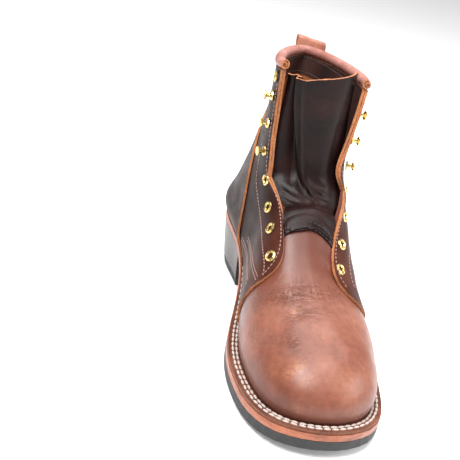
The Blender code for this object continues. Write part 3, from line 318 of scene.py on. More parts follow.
def heelMaterial():
    # stacked lifts burnished nearly black
    material, tree, shader, place = newMaterial("heelLifts")
    apart = tree.nodes.new("ShaderNodeSeparateXYZ")
    tree.links.new(place, apart.inputs["Vector"])
    layers = tree.nodes.new("ShaderNodeMath")
    layers.operation = "PINGPONG"
    layers.inputs[1].default_value = 0.00275
    tree.links.new(apart.outputs["Z"], layers.inputs[0])
    lines = tree.nodes.new("ShaderNodeMapRange")
    lines.inputs["From Max"].default_value = 0.00035
    tree.links.new(layers.outputs[0], lines.inputs["Value"])
    color = ramp(tree, noiseNode(tree, place, 60, 4, 0.6, (1, 1, 6)),
                 [(0.3, (0.010, 0.006, 0.005)), (0.55, (0.024, 0.011, 0.008)), (0.8, (0.06, 0.022, 0.014))])
    color = mixColors(tree, lines.outputs["Result"], (0.006, 0.004, 0.003), color)
    tree.links.new(color, shader.inputs["Base Color"])
    setInputs(shader, {"Roughness": 0.3, "Specular IOR Level": 0.25, "Coat Weight": 0.12,
                       "Coat Roughness": 0.2})
    bumps(tree, shader, [(lines.outputs["Result"], 0.5, 0.0003),
                         (noiseNode(tree, place, 350, 4, 0.6, (1, 1, 3)), 0.25, 0.0003)])
    return material


def brassMaterial():
    material, tree, shader, place = newMaterial("brassPlate")
    color = ramp(tree, noiseNode(tree, place, 500, 4), [(0.3, (0.62, 0.42, 0.13)), (0.6, (0.84, 0.66, 0.28))])
    tree.links.new(color, shader.inputs["Base Color"])
    shader.inputs["Metallic"].default_value = 1
    rough = ramp(tree, noiseNode(tree, place, 900, 3), [(0.3, grey(0.16)), (0.7, grey(0.34))])
    tree.links.new(rough, shader.inputs["Roughness"])
    bumps(tree, shader, [(noiseNode(tree, place, 800, 3), 0.12, 0.0001)])
    return material


def threadMaterial(name, color, dark):
    material, tree, shader, place = newMaterial(name)
    tint = ramp(tree, noiseNode(tree, place, 1600, 4, 0.7), [(0.3, dark), (0.6, color)])
    tree.links.new(tint, shader.inputs["Base Color"])
    setInputs(shader, {"Roughness": 0.6, "Sheen Weight": 0.2})
    bumps(tree, shader, [(noiseNode(tree, place, 1800, 3), 0.5, 0.0003)])
    return material


shaftInside = liningMaterial()
midsoleEdge = midsoleMaterial()
rubber = rubberMaterial("blackRubber", (0.015, 0.015, 0.0155), (0.034, 0.033, 0.033))
heelLifts = heelMaterial()
brassPlate = brassMaterial()
threadWhite = threadMaterial("weltThread", (0.70, 0.61, 0.55), (0.40, 0.31, 0.26))
threadPink = threadMaterial("quarterThread", (0.42, 0.23, 0.19), (0.20, 0.09, 0.07))
threadDark = threadMaterial("tongueThread", (0.025, 0.010, 0.009), (0.012, 0.006, 0.006))
threadLining = threadMaterial("liningThread", (0.17, 0.12, 0.105), (0.08, 0.05, 0.045))


def deselectAll():
    if bpy.context.object and bpy.context.object.mode != "OBJECT":
        bpy.ops.object.mode_set(mode="OBJECT")
    for thing in bpy.context.view_layer.objects:
        thing.select_set(False)


def selectOnly(piece):
    deselectAll()
    piece.select_set(True)
    bpy.context.view_layer.objects.active = piece


def copyOfNode(node, name):
    mesh = nodes[node].data.copy()
    mesh.name = name
    mesh.materials.clear()
    piece = bpy.data.objects.new(name, mesh)
    bpy.context.scene.collection.objects.link(piece)
    selectOnly(piece)
    bpy.ops.object.mode_set(mode="EDIT")
    bpy.ops.mesh.customdata_custom_splitnormals_clear()
    bpy.ops.mesh.select_all(action="SELECT")
    bpy.ops.mesh.remove_doubles(threshold=mergeGap)
    bpy.ops.mesh.tris_convert_to_quads(face_threshold=sharpAngle, shape_threshold=math.radians(60))
    bpy.ops.object.mode_set(mode="OBJECT")
    return piece


def skins(piece):
    # groups of faces that join across edges flatter than sharpAngle, largest area first
    work = bmesh.new()
    work.from_mesh(piece.data)
    work.faces.ensure_lookup_table()
    label = [-1] * len(work.faces)
    groups = []
    for start in work.faces:
        if label[start.index] >= 0:
            continue
        label[start.index] = len(groups)
        heap, found = [start], []
        while heap:
            face = heap.pop()
            found.append(face.index)
            for edge in face.edges:
                if len(edge.link_faces) != 2 or edge.calc_face_angle(0) > sharpAngle:
                    continue
                for other in edge.link_faces:
                    if label[other.index] < 0:
                        label[other.index] = len(groups)
                        heap.append(other)
        groups.append(found)
    areas = [sum(work.faces[i].calc_area() for i in found) for found in groups]
    order = sorted(range(len(groups)), key=lambda g: -areas[g])
    out = []
    for g in order:
        normal = sum((work.faces[i].normal * work.faces[i].calc_area() for i in groups[g]), Vector())
        middles = np.array([work.faces[i].calc_center_median() for i in groups[g]])
        out.append(dict(faces=groups[g], area=areas[g], normal=normal / max(areas[g], 1e-12),
                        low=middles.min(0), high=middles.max(0)))
    work.free()
    return out


def smoothEdges(piece, levels):
    # sharp edges keep their line while the rest is subdivided smooth
    work = bmesh.new()
    work.from_mesh(piece.data)
    kept = work.edges.layers.float.get("crease_edge") or work.edges.layers.float.new("crease_edge")
    for edge in work.edges:
        if len(edge.link_faces) == 2 and edge.calc_face_angle(0) > sharpAngle:
            edge[kept] = 1.0
    work.to_mesh(piece.data)
    work.free()
    selectOnly(piece)
    rounder = piece.modifiers.new("rounder", "SUBSURF")
    rounder.levels = levels
    rounder.render_levels = levels
    rounder.use_limit_surface = False
    bpy.ops.object.modifier_apply(modifier="rounder")
    bpy.ops.object.shade_smooth_by_angle(angle=math.radians(42))


def paint(piece, materials, choose):
    for material in materials:
        piece.data.materials.append(material)
    for rank, skin in enumerate(skins(piece)):
        index = choose(rank, skin)
        for face in skin["faces"]:
            piece.data.polygons[face].material_index = index


# in metres, and per metre
edgeLook = {"depth": 0.00035, "coarse": 260, "fine": 900}


def roughenEdge(piece, slots):
    # cut edges wander a little
    places = pointsOf(piece)
    rim = {i for p in piece.data.polygons if p.material_index in slots for i in p.vertices}
    for i in rim:
        spot = Vector(places[i])
        coarse = noise.noise_vector(spot * edgeLook["coarse"])
        fine = noise.noise_vector(spot * edgeLook["fine"])
        places[i] += np.array(coarse) * edgeLook["depth"] + np.array(fine) * edgeLook["depth"] * 0.5
    setPoints(piece, places)


def finish(piece, slot, *replaced):
    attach(piece, "root")
    if replaced:
        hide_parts(*replaced)


def pointsOf(piece, kind="co"):
    # one row for each vertex: its place, or its normal
    rows = np.empty(len(piece.data.vertices) * 3)
    piece.data.vertices.foreach_get(kind, rows)
    return rows.reshape(-1, 3)


def setPoints(piece, places):
    piece.data.vertices.foreach_set("co", places.ravel())
    piece.data.update()


def addValues(piece, name, values):
    piece.data.attributes.new(name, "FLOAT", "POINT").data.foreach_set("value", values)


def nearLine(places, line):
    # distance from each place to a bent line, and how far along it (0..1)
    line = np.array(line)
    best = np.full(len(places), 1e9)
    share = np.zeros(len(places))
    steps = len(line) - 1
    for k in range(steps):
        a, b = line[k], line[k + 1]
        way = b - a
        t = np.clip(((places - a) @ way) / (way @ way), 0, 1)
        gap = np.linalg.norm(places - a - t[:, None] * way, axis=1)
        better = gap < best
        best = np.where(better, gap, best)
        share = np.where(better, (k + t) / steps, share)
    return best, share


# where the ridge beside a crease stands, and how wide it is, in half widths of the crease
ridgeAt, ridgeWidth = 1.9, 0.8


def crease(piece, lines):
    # each line: points, depth, half width and side ridge, all in mm
    places = pointsOf(piece)
    shift = np.zeros(len(places))
    for points, depth, width, ridge in lines:
        gap, share = nearLine(places, np.array(points) / 1000)
        gap = gap * 1000 / width
        fade = np.clip(np.sin(np.pi * np.clip(share, 0.02, 0.98)) * 1.6, 0, 1)
        beside = np.exp(-((gap - ridgeAt) / ridgeWidth) ** 2)
        shift += fade * (-depth * np.exp(-gap ** 2) + ridge * beside) / 1000
    setPoints(piece, places + pointsOf(piece, "normal") * shift[:, None])


print("upper")
upperLook = {
    "levels": 2,
    # points in mm, depth, half width, ridge beside it
    "creases": [
        ([(-40.9, -60, 64.5), (-29.9, -66, 71.9), (-17.4, -67.3, 76.5), (-3.7, -66.3, 78),
          (9.6, -64.5, 76.4)], 0.6, 1.7, 0.25),
        ([(-40, -66, 62), (-30, -71.5, 69), (-18, -73.5, 73), (-8, -73, 74)], 0.45, 1.5, 0.2),
        ([(-36, -56, 73), (-24, -59, 79), (-8, -60, 81)], 0.4, 1.6, 0.2),
        ([(-26.3, -84, 65.9), (-14.1, -82.9, 69.6), (1.5, -79.6, 71.4), (18.7, -75, 69.1)], 0.35, 1.8, 0.15),
        ([(-48.1, -79.4, 45.3), (-42.3, -90.2, 51.5), (-34.7, -99.1, 55.8), (-26.3, -104.9, 58.8)],
         0.4, 1.6, 0.2),
        ([(-49, -74, 46), (-44, -84, 53), (-36, -92, 58)], 0.35, 1.5, 0.2),
        ([(8, -42, 88), (16, -50, 79), (27, -55, 71)], 0.5, 2.6, 0.25),
        ([(-34.5, -108.5, 53), (-23.2, -111.7, 57.9), (-10.7, -112.2, 60.1), (2.3, -112.4, 60.5),
          (14.7, -111.8, 59.3)], 0.9, 8.0, 0.35),
        ([(-10, -36, 96), (4, -44, 90), (20, -46, 80)], 0.35, 3.0, 0.15),
    ],
    # middle in mm, radius, strength; pale patches that are partly real scuffs and partly a painted highlight
    # on the toe
    "scuffs": [(-21.7, -80.4, 69, 3.2, 0.9), (-18.3, -92.5, 65.4, 1.8, 0.8), (-3.6, -100.5, 64.4, 2.2, 0.8),
               (25.8, -79.2, 64.5, 2.2, 0.7), (-30, -125.5, 49, 5, 0.75), (-24.5, -124, 53.5, 6, 0.75),
               (-24.7, -143.2, 30.1, 3, 0.7), (-17.8, -133.9, 49.5, 6, 0.45), (10, -130, 52, 9, 0.3),
               (-38, -118, 44, 7, 0.3)],
    # line in mm, half width, strength; these wrinkles get a bump and painted shade in their lines
    "wrinkles": [([(-42, -59, 62), (-29.9, -66, 71.9), (-17.4, -67.3, 76.5), (-3.7, -66.3, 78),
                   (16, -63, 74)], 8, 1.0),
                 ([(-48, -78, 46), (-42.3, -90, 51.5), (-34.7, -99, 55.8), (-26.3, -105, 58.8)], 6, 0.8),
                 ([(-26.3, -84, 65.9), (-14.1, -82.9, 69.6), (1.5, -79.6, 71.4), (24, -75, 67)], 6, 0.6)],
    # telling the skins apart, in metres: the ledge lies low, the throat's rim ends lower than the collar
    "flat": 0.8, "ledgeTop": 0.06, "edgeArea": 0.001, "throatTop": 0.125,
}


def markUpper(piece):
    places = pointsOf(piece) * 1000
    # pale patches, partly scuffs and partly painted highlight on the toe
    scuffAndHighlight = np.zeros(len(places))
    for x, y, z, radius, strength in upperLook["scuffs"]:
        gap = np.linalg.norm(places - (x, y, z), axis=1) / radius
        scuffAndHighlight = np.maximum(scuffAndHighlight, strength * np.exp(-gap ** 2))
    wrinkled = np.zeros(len(places))
    for points, width, strength in upperLook["wrinkles"]:
        gap, _ = nearLine(places, np.array(points, float))
        wrinkled = np.maximum(wrinkled, strength * np.exp(-(gap / width) ** 2))
    addValues(piece, "scuffAndHighlight", scuffAndHighlight)
    addValues(piece, "wrinkled", wrinkled)


facingLook = {
    # height in mm, and how far the facing leans out from the foot (mm) along its free edge
    "inner": [(80, 0), (100, 0.5), (118, -1.5), (132, 1.8), (150, 0.5), (175, 0), (206, 0)],
    "outer": [(80, 0), (98, 2.0), (115, 4.5), (124, 2.0), (134, -4.5), (144, -4.0), (160, -1.0), (185, 0),
              (206, 0)],
    # in metres: how far behind and before the edge it leans, how low, and what is beside the middle
    "reach": 0.018, "before": -0.006, "low": 0.078, "beside": 0.012,
}


def facingFronts(side):
    places = pointsOf(nodes["quarter_" + side])
    heights = np.arange(0.076, 0.212, 0.004)
    return heights, np.array([places[np.abs(places[:, 2] - z) < 0.005, 1].min() for z in heights])


def leanFacing(places, side, sign):
    table = np.array(facingLook[side], float)
    lean = np.interp(places[:, 2] * 1000, table[:, 0], table[:, 1]) / 1000
    heights, fronts = facingFronts(side)
    gap = places[:, 1] - np.interp(places[:, 2], heights, fronts)
    reach = np.clip(1 - gap / facingLook["reach"], 0, 1)
    reach = reach * (gap > facingLook["before"]) * (places[:, 2] > facingLook["low"])
    places[:, 0] += sign * lean * eased(reach)


upper = copyOfNode("upper", "upperLeather")


def chooseUpper(rank, skin):
    if rank == 0:
        return 0
    if rank == 1:
        return 1
    if skin["normal"][2] > upperLook["flat"] and skin["high"][2] < upperLook["ledgeTop"]:
        return 3
    if skin["area"] > upperLook["edgeArea"]:
        return 4
    return 0 if skin["high"][2] < upperLook["throatTop"] else 2


paint(upper, [leathers["vamp"], shaftInside, edgeTan, leathers["flange"], edgeBrown], chooseUpper)
upperPlaces = pointsOf(upper)
for side, sign in (("inner", -1), ("outer", 1)):
    half = upperPlaces[:, 0] * sign > facingLook["beside"]
    moving = upperPlaces[half]
    leanFacing(moving, side, sign)
    upperPlaces[half] = moving
setPoints(upper, upperPlaces)
smoothEdges(upper, upperLook["levels"])
outerSkin = BVHTree.FromPolygons([v.co.copy() for v in upper.data.vertices],
                                 [list(p.vertices) for p in upper.data.polygons if p.material_index == 0])
crease(upper, upperLook["creases"])
markUpper(upper)
finish(upper, "vamp_leather", "upper")

print("quarters and counter")


def chooseLayer(rank, skin):
    return 0 if rank < 2 else 1


def chooseTongue(rank, skin):
    return 1 if rank > 1 and skin["normal"][2] > 0.5 and skin["low"][2] > 0.19 else 0


tongueLook = {
    # height in mm, where the solid's pleat stands and where the leather's pleat falls, as shares across
    "pleat": [(112, 0.50, 0.56), (118, 0.48, 0.54), (128, 0.46, 0.49), (135, 0.43, 0.46), (142, 0.40, 0.43),
              (156, 0.36, 0.37), (172, 0.32, 0.28), (189, 0.28, 0.19), (206, 0.25, 0.12)],
    "topFrom": 0.150, "topTo": 0.210, "leftDrop": 0.007, "rightRise": 0.007, "band": 6,
}


def shapeTongue(piece):
    places = pointsOf(piece)
    table = np.array(tongueLook["pleat"])
    height = places[:, 2] * 1000
    old = np.interp(height, table[:, 0], table[:, 1])
    new = np.interp(height, table[:, 0], table[:, 2])
    bands = np.round(height / tongueLook["band"]).astype(int)
    left = np.empty(len(places))
    right = np.empty(len(places))
    for band in np.unique(bands):
        near = np.abs(bands - band) <= 1
        here = bands == band
        left[here] = places[near, 0].min()
        right[here] = places[near, 0].max()
    share = (places[:, 0] - left) / (right - left)
    moved = np.where(share < old, share * new / old, new + (share - old) * (1 - new) / (1 - old))
    places[:, 0] = left + moved * (right - left)
    low, high, drop = tongueLook["topFrom"], tongueLook["topTo"], tongueLook["leftDrop"]
    rise = eased(np.clip((places[:, 2] - low) / (high - low), 0, 1))
    places[:, 2] += rise * (-drop + (drop + tongueLook["rightRise"]) * moved)
    setPoints(piece, places)


foldLook = {
    # the fold line down the tongue, in mm
    "line": [(-25.5, 32, 216), (-24.6, 27.9, 208.9), (-23.6, 22.7, 198), (-20.7, 22.1, 182.4),
             (-17.9, 21.8, 168.1), (-15, 20.9, 154.5), (-12.3, 18.9, 142.9), (-8.5, 17, 129.8),
             (-5.4, 9.4, 121.9)],
    "deep": 3.4, "left": 9.0, "right": 1.3, "lip": 1.1, "lipAt": 4.2, "lipWidth": 2.6,
    # it fades in over this height, and the painted shade of the groove, a near-black band, lies beside the
    # line
    "fadeFrom": 118, "fadeOver": 10, "grooveShadeAt": -0.3, "grooveShadeWidth": 1.3,
    "creases": [
        ([(-24, 20, 126), (-17, 15, 123), (-11, 9.5, 121.5)], 0.9, 1.7, 0.5),
        ([(-25, 15, 119), (-17, 7, 118), (-10, 2, 118)], 0.7, 1.5, 0.4),
        ([(-22, 21, 132), (-15, 18, 129), (-10, 15, 127)], 0.6, 1.5, 0.4),
        ([(-3.5, 5, 121.5), (3, -2, 119.5), (10, -1, 117), (16, 4, 115)], -1.3, 2.2, -0.5),
        ([(2, 11, 124), (9, 9, 121), (16, 10, 119)], 0.7, 1.8, 0.4),
        ([(-2, 16, 134), (6, 14, 129), (14, 13, 126)], 0.5, 2.2, 0.3),
    ],
}


def foldTongue(piece):
    places = pointsOf(piece)
    line = np.array(foldLook["line"])[::-1]
    height = places[:, 2] * 1000
    middle = np.interp(height, line[:, 2], line[:, 0])
    gap = places[:, 0] * 1000 - middle
    left = np.exp(-(np.minimum(gap, 0) / foldLook["left"]) ** 2)
    right = np.exp(-(np.maximum(gap, 0) / foldLook["right"]) ** 2)
    fade = np.clip((height - foldLook["fadeFrom"]) / foldLook["fadeOver"], 0, 1)
    lip = np.exp(-((gap - foldLook["lipAt"]) / foldLook["lipWidth"]) ** 2)
    places[:, 1] += (foldLook["deep"] * left * right - foldLook["lip"] * lip) * fade / 1000
    setPoints(piece, places)
    crease(piece, foldLook["creases"])
    # painted shade of the groove beside the fold line, kept for the tongue's colour
    addValues(piece, "grooveShade", fade * np.exp(-((gap - foldLook["grooveShadeAt"]) / foldLook["grooveShadeWidth"]) ** 2))


loopLook = {"aside": 0.0065, "leatherTop": 0.198, "shorterFrom": 0.205, "shorter": 0.8, "behind": 0.3}


def shapeLoop(piece):
    # the loop sits a little to the outer side of the back, and follows it round
    places = pointsOf(piece)
    aside, start, forward = loopLook["aside"], loopLook["behind"], Vector((0, -1, 0))
    for i, (x, y, z) in enumerate(places):
        low = min(z, loopLook["leatherTop"])
        first = outerSkin.ray_cast(Vector((x, start, low)), forward)[0]
        second = outerSkin.ray_cast(Vector((x + aside, start, low)), forward)[0]
        places[i, 1] += second.y - first.y
    places[:, 0] += aside
    over = places[:, 2] - loopLook["shorterFrom"]
    places[:, 2] = np.where(over > 0, loopLook["shorterFrom"] + over * loopLook["shorter"], places[:, 2])
    setPoints(piece, places)


quarterLook = {"tipBack": 0.011, "tipTop": 0.064, "tipReach": 0.034, "tipHeight": 0.03, "band": 4}


def shapeFacing(side, sign):
    def shape(piece):
        places = pointsOf(piece)
        low = places[:, 2] < quarterLook["tipTop"]
        bands = np.round(places[:, 2] * 1000 / quarterLook["band"]).astype(int)
        moved = places.copy()
        for band in np.unique(bands[low]):
            here = (bands == band) & low
            front = places[np.abs(bands - band) <= 1, 1].min()
            share = np.clip((quarterLook["tipTop"] - places[here, 2]) / quarterLook["tipHeight"], 0, 1)
            reach = np.clip(1 - (places[here, 1] - front) / quarterLook["tipReach"], 0, 1)
            moved[here, 1] += quarterLook["tipBack"] * eased(share) * reach
        # each point keeps its distance from the leather below it
        for i in np.flatnonzero(low & (np.abs(moved - places).sum(1) > 1e-5)):
            spot, normal, _, _ = outerSkin.find_nearest(Vector(places[i]))
            lift = (Vector(places[i]) - spot).dot(normal)
            spot, normal, _, _ = outerSkin.find_nearest(Vector(moved[i]))
            moved[i] = spot + normal * lift
        leanFacing(moved, side, sign)
        setPoints(piece, moved)
    return shape


rollLook = {"reach": 0.018, "before": -0.002, "around": 0.009, "endSize": 0.74}


def shapeRoll(piece):
    # the roll grows thinner towards its two cut ends
    places = pointsOf(piece)
    for cap in skins(piece)[1:3]:
        middle = np.mean([piece.data.polygons[i].center[:] for i in cap["faces"]], axis=0)
        way = -np.array(Vector(cap["normal"]).normalized())
        run = (places - middle) @ way
        gap = places - middle - run[:, None] * way
        near = np.linalg.norm(gap, axis=1) < rollLook["around"]
        near &= (run < rollLook["reach"]) & (run > rollLook["before"])
        share = eased(np.clip(run / rollLook["reach"], 0, 1))
        size = rollLook["endSize"] + (1 - rollLook["endSize"]) * share
        places[near] -= gap[near] * (1 - size[near, None])
    setPoints(piece, places)


reshape = {"tongue": shapeTongue, "pull_loop": shapeLoop, "collar_roll": shapeRoll,
           "quarter_inner": shapeFacing("inner", -1), "quarter_outer": shapeFacing("outer", 1)}
layers = {}
roughEdged = ("quarter_inner", "quarter_outer", "tongue")
for node, look, slot in (("quarter_inner", "quarter", "quarter_leather"),
                         ("quarter_outer", "quarter", "quarter_leather"),
                         ("counter", "counter", "quarter_leather"),
                         ("tongue", "tongue", "tongue_leather"),
                         ("collar_roll", "collar", "collar_leather"),
                         ("pull_loop", "loop", "collar_leather")):
    piece = copyOfNode(node, node + "Leather")
    paint(piece, [leathers[look], edgeTan], chooseTongue if node == "tongue" else chooseLayer)
    if node in reshape:
        reshape[node](piece)
    smoothEdges(piece, 2 if node in roughEdged else 1)
    if node == "tongue":
        foldTongue(piece)
    if node in roughEdged:
        roughenEdge(piece, {1})
    finish(piece, slot, node)
    layers[node] = piece
    print("  ", node, len(piece.data.polygons))

print("hard parts")


def wear(node, material):
    data = nodes[node].data
    data.materials.clear()
    data.materials.append(material)


wear("outsole", rubber)
wear("top_lift", rubber)
wear("midsole", midsoleEdge)
wear("insole", shaftInside)
wear("heel_stack", heelLifts)
for name in nodes:
    if name.startswith(("eyelet", "hook")):
        wear(name, brassPlate)


def surfaceOf(piece, slots=None):
    places = [v.co.copy() for v in piece.data.vertices]
    faces = [list(p.vertices) for p in piece.data.polygons if slots is None or p.material_index in slots]
    return BVHTree.FromPolygons(places, faces)


searchReach = 0.012


def outside(guide, surface, place):
    # the outermost point of a surface over a place, with its normal
    _, normal, _, _ = guide.find_nearest(place)
    hit, way, _, _ = surface.ray_cast(place + normal * searchReach, -normal, 2 * searchReach)
    if hit is None:
        return None, None
    return hit, way if way.dot(normal) > 0 else -way


def evenly(points, spacing, closed=False):
    points = np.array(points, float)
    if closed:
        points = np.vstack([points, points[:1]])
    steps = np.linalg.norm(np.diff(points, axis=0), axis=1)
    run = np.concatenate([[0], np.cumsum(steps)])
    count = max(2, int(round(run[-1] / spacing)))
    at = np.linspace(0, run[-1], count + 1)
    return np.stack([np.interp(at, run, points[:, k]) for k in range(3)], axis=1)


def curvedThrough(points, count=60):
    # a smooth line through given points
    points = np.array(points, float)
    ends = np.vstack([2 * points[0] - points[1], points, 2 * points[-1] - points[-2]])
    out = []
    for k in range(len(points) - 1):
        a, b, c, d = ends[k:k + 4]
        for t in np.linspace(0, 1, max(2, count // (len(points) - 1)), endpoint=False):
            square, cube = 2 * a - 5 * b + 4 * c - d, 3 * b - a - 3 * c + d
            out.append(0.5 * (2 * b + (c - a) * t + square * t * t + cube * t ** 3))
    out.append(points[-1])
    return np.array(out)


def stitchShape(length, width, height):
    deselectAll()
    bpy.ops.mesh.primitive_uv_sphere_add(segments=8, ring_count=5, radius=0.5)
    shape = bpy.context.object
    shape.name = "stitchShape"
    bpy.ops.object.mode_set(mode="EDIT")
    bpy.ops.mesh.select_all(action="SELECT")
    bpy.ops.transform.rotate(value=math.pi / 2, orient_axis="Y", center_override=(0, 0, 0))
    bpy.ops.transform.resize(value=(length, width, height), center_override=(0, 0, 0))
    bpy.ops.object.mode_set(mode="OBJECT")
    return shape


def stitchRow(name, rows, guide, surface, look, material, slot):
    # rows of separate stitches laid on the leather, joined to one piece
    shape = stitchShape(look["length"], look["width"], look["height"])
    copies = []
    for row in rows:
        marks = row if look.get("asGiven") else evenly(row, look["spacing"])
        for a, b in zip(marks[:-1], marks[1:]):
            middle = Vector((a + b) / 2)
            place, normal = outside(guide, surface, middle)
            if place is None:
                continue
            way = Vector(b - a)
            way = (way - way.project(normal)).normalized()
            across = normal.cross(way)
            turn = random.uniform(-1, 1) * math.radians(look["wander"])
            way = (way * math.cos(turn) + across * math.sin(turn)).normalized()
            across = normal.cross(way)
            spot = Matrix((way, across, normal)).transposed().to_4x4()
            spot.translation = place + normal * look["lift"]
            copy = shape.copy()
            copy.data = shape.data.copy()
            copy.data.transform(spot)
            bpy.context.scene.collection.objects.link(copy)
            copies.append(copy)
    bpy.data.objects.remove(shape)
    deselectAll()
    for copy in copies:
        copy.select_set(True)
    bpy.context.view_layer.objects.active = copies[0]
    bpy.ops.object.join()
    piece = bpy.context.object
    piece.name = name
    piece.data.name = name
    piece.data.materials.clear()
    piece.data.materials.append(material)
    bpy.ops.object.shade_smooth()
    finish(piece, slot)
    print("  ", name, len(copies), "stitches")


print("stitches")
upperSkin = surfaceOf(upper, {0})
ledgeSkin = surfaceOf(upper, {3})


def ledgeLines():
    # the ledge of the turned-out upper: its outer line, and the line where the wall rises
    body = nodes["upper"].data
    work = bmesh.new()
    work.from_mesh(body)
    bmesh.ops.remove_doubles(work, verts=work.verts, dist=mergeGap)
    chosen = {f for f in work.faces if f.normal.z > 0.8 and f.calc_center_median().z < 0.06}
    step = {}
    for face in chosen:
        for edge in face.edges:
            if len([f for f in edge.link_faces if f in chosen]) == 1:
                a, b = edge.verts
                step.setdefault(a.index, []).append(b.index)
                step.setdefault(b.index, []).append(a.index)
    work.verts.ensure_lookup_table()
    loops, seen = [], set()
    for first in step:
        if first in seen:
            continue
        loop, now = [], first
        while now is not None:
            seen.add(now)
            loop.append(work.verts[now].co[:])
            now = next((n for n in step[now] if n not in seen), None)
        loops.append(np.array(loop))
    work.free()
    return sorted(loops, key=lambda loop: -len(loop) * np.ptp(loop[:, 0]))[:2]


ledge = ledgeLines()
ledge.sort(key=lambda loop: -np.ptp(loop[:, 0]))
print("  ledge", [len(loop) for loop in ledge])
stitchLook = {
    "quarter": dict(length=0.0025, width=0.0011, height=0.0008, spacing=0.0033, lift=0.0001, wander=5),
    "eyestay": dict(length=0.0025, width=0.0010, height=0.0008, spacing=0.0034, lift=0.0001, wander=5),
    "tongue": dict(length=0.0026, width=0.0010, height=0.0008, spacing=0.0036, lift=0.0000, wander=8),
    "lining": dict(length=0.0024, width=0.0007, height=0.0006, spacing=0.0034, lift=0.0001, wander=5),
    "ledge": dict(length=0.0054, width=0.0020, height=0.0019, spacing=0.0062, lift=0.0002, wander=6,
                  asGiven=True),
}
# each row's share of the way across the ledge, where both end at the back, and the inner line's step
ledgeLook = {"shares": (0.40, 0.73), "back": 0.045, "step": 0.0008}


def ledgeRow(share):
    outer = evenly(ledge[0], stitchLook["ledge"]["spacing"], closed=True)[:-1]
    inner = evenly(ledge[1], ledgeLook["step"], closed=True)
    row = []
    for point in outer:
        nearest = inner[np.argmin(((inner[:, :2] - point[:2]) ** 2).sum(1))]
        row.append(point + (nearest - point) * share)
    row = np.array(row)
    keep = outer[:, 1] < ledgeLook["back"]
    start = int(np.argmax(~keep))
    row, keep = np.roll(row, -start, axis=0), np.roll(keep, -start)
    return row[keep]


stitchRow("ledgeStitches", [ledgeRow(share) for share in ledgeLook["shares"]], ledgeSkin, ledgeSkin,
          stitchLook["ledge"], threadWhite, "quarter_leather")
quarterRows = {
    "lowFront": [(39.5, 45, 58.5), (42.5, 10, 57.5), (45.8, -26.4, 57)],
    "lowBack": [(39, 44, 61.7), (42.2, 11, 60.7), (45.4, -25, 60.2)],
    "middle": [(37.0, 29.3, 67.2), (41.1, -7.7, 68.8), (43.7, -40.7, 70.1)],
    "middleBack": [(37.0, 29.3, 70.2), (41.1, -7.7, 71.8), (43.5, -40.0, 73.0)],
    "eyestay": [(38.5, 46, 200), (39.5, 47, 160), (39, 46, 130), (36.2, 38.7, 112), (35.1, 10.3, 95.9),
                (38.4, -32.5, 83.2), (40, -44, 76)],
}
for side, sign in (("inner", -1), ("outer", 1)):
    skin = surfaceOf(layers["quarter_" + side])
    rows = [curvedThrough(np.array(points) * (sign, 1, 1) / 1000) for points in quarterRows.values()]
    stitchRow("quarterStitches_" + side, rows, upperSkin, skin,
              stitchLook["quarter"], threadPink, "quarter_leather")


facingRowLook = {"low": 0.078, "high": 0.203, "step": 0.004, "near": 0.003, "tilt": 0.2, "aside": 0.45,
                 "inset": 0.004}


def facingRow(side):
    # a row that keeps its distance from the facing's free edge
    look = facingRowLook
    piece = layers["quarter_" + side]
    places = pointsOf(piece)
    sign = -1 if side == "inner" else 1
    line = []
    for z in np.arange(look["low"], look["high"], look["step"]):
        near = np.abs(places[:, 2] - z) < look["near"]
        if near.any():
            band = places[near]
            front = band[np.argmin(band[:, 1] - look["tilt"] * sign * band[:, 0])]
            line.append((front[0] + sign * look["inset"] * look["aside"], front[1] + look["inset"], z))
    line = np.array(line)
    for _ in range(3):
        line[1:-1] = (line[:-2] + line[1:-1] * 2 + line[2:]) / 4
    return line


for side in ("inner", "outer"):
    skin = surfaceOf(layers["quarter_" + side])
    stitchRow("facingStitches_" + side, [facingRow(side)], upperSkin, skin,
              stitchLook["eyestay"], threadPink, "quarter_leather")

print("tongue seam")
seamLook = {
    "arc": [(-26, -25.5, 99.5), (-22, -23.3, 102.8), (-16, -22.0, 105.9), (-8.4, -20.8, 107.3),
            (-1.5, -21.3, 106.2), (5.5, -22.0, 103.3), (11.8, -23.8, 98.5), (18, -27, 92.0)],
    "width": 0.016, "thick": 0.0012, "scallop": 0.0011, "scallops": 11,
    "points": 84, "rows": 9, "search": 0.015,
    # out from the leather, and up its slope
    "out": (0, -0.62, 0.78), "slope": (0, 0.80, 0.38),
    # how far it stands off the leather, and its last three rows
    "rise": 0.0011, "lastRises": (0.0007, 0.0002, -0.0006),
}


def pieceFrom(name, vertices, faces):
    mesh = bpy.data.meshes.new(name)
    mesh.from_pydata(vertices, [], faces)
    piece = bpy.data.objects.new(name, mesh)
    bpy.context.scene.collection.objects.link(piece)
    selectOnly(piece)
    bpy.ops.object.mode_set(mode="EDIT")
    bpy.ops.mesh.select_all(action="SELECT")
    bpy.ops.mesh.normals_make_consistent(inside=False)
    bpy.ops.object.mode_set(mode="OBJECT")
    return piece


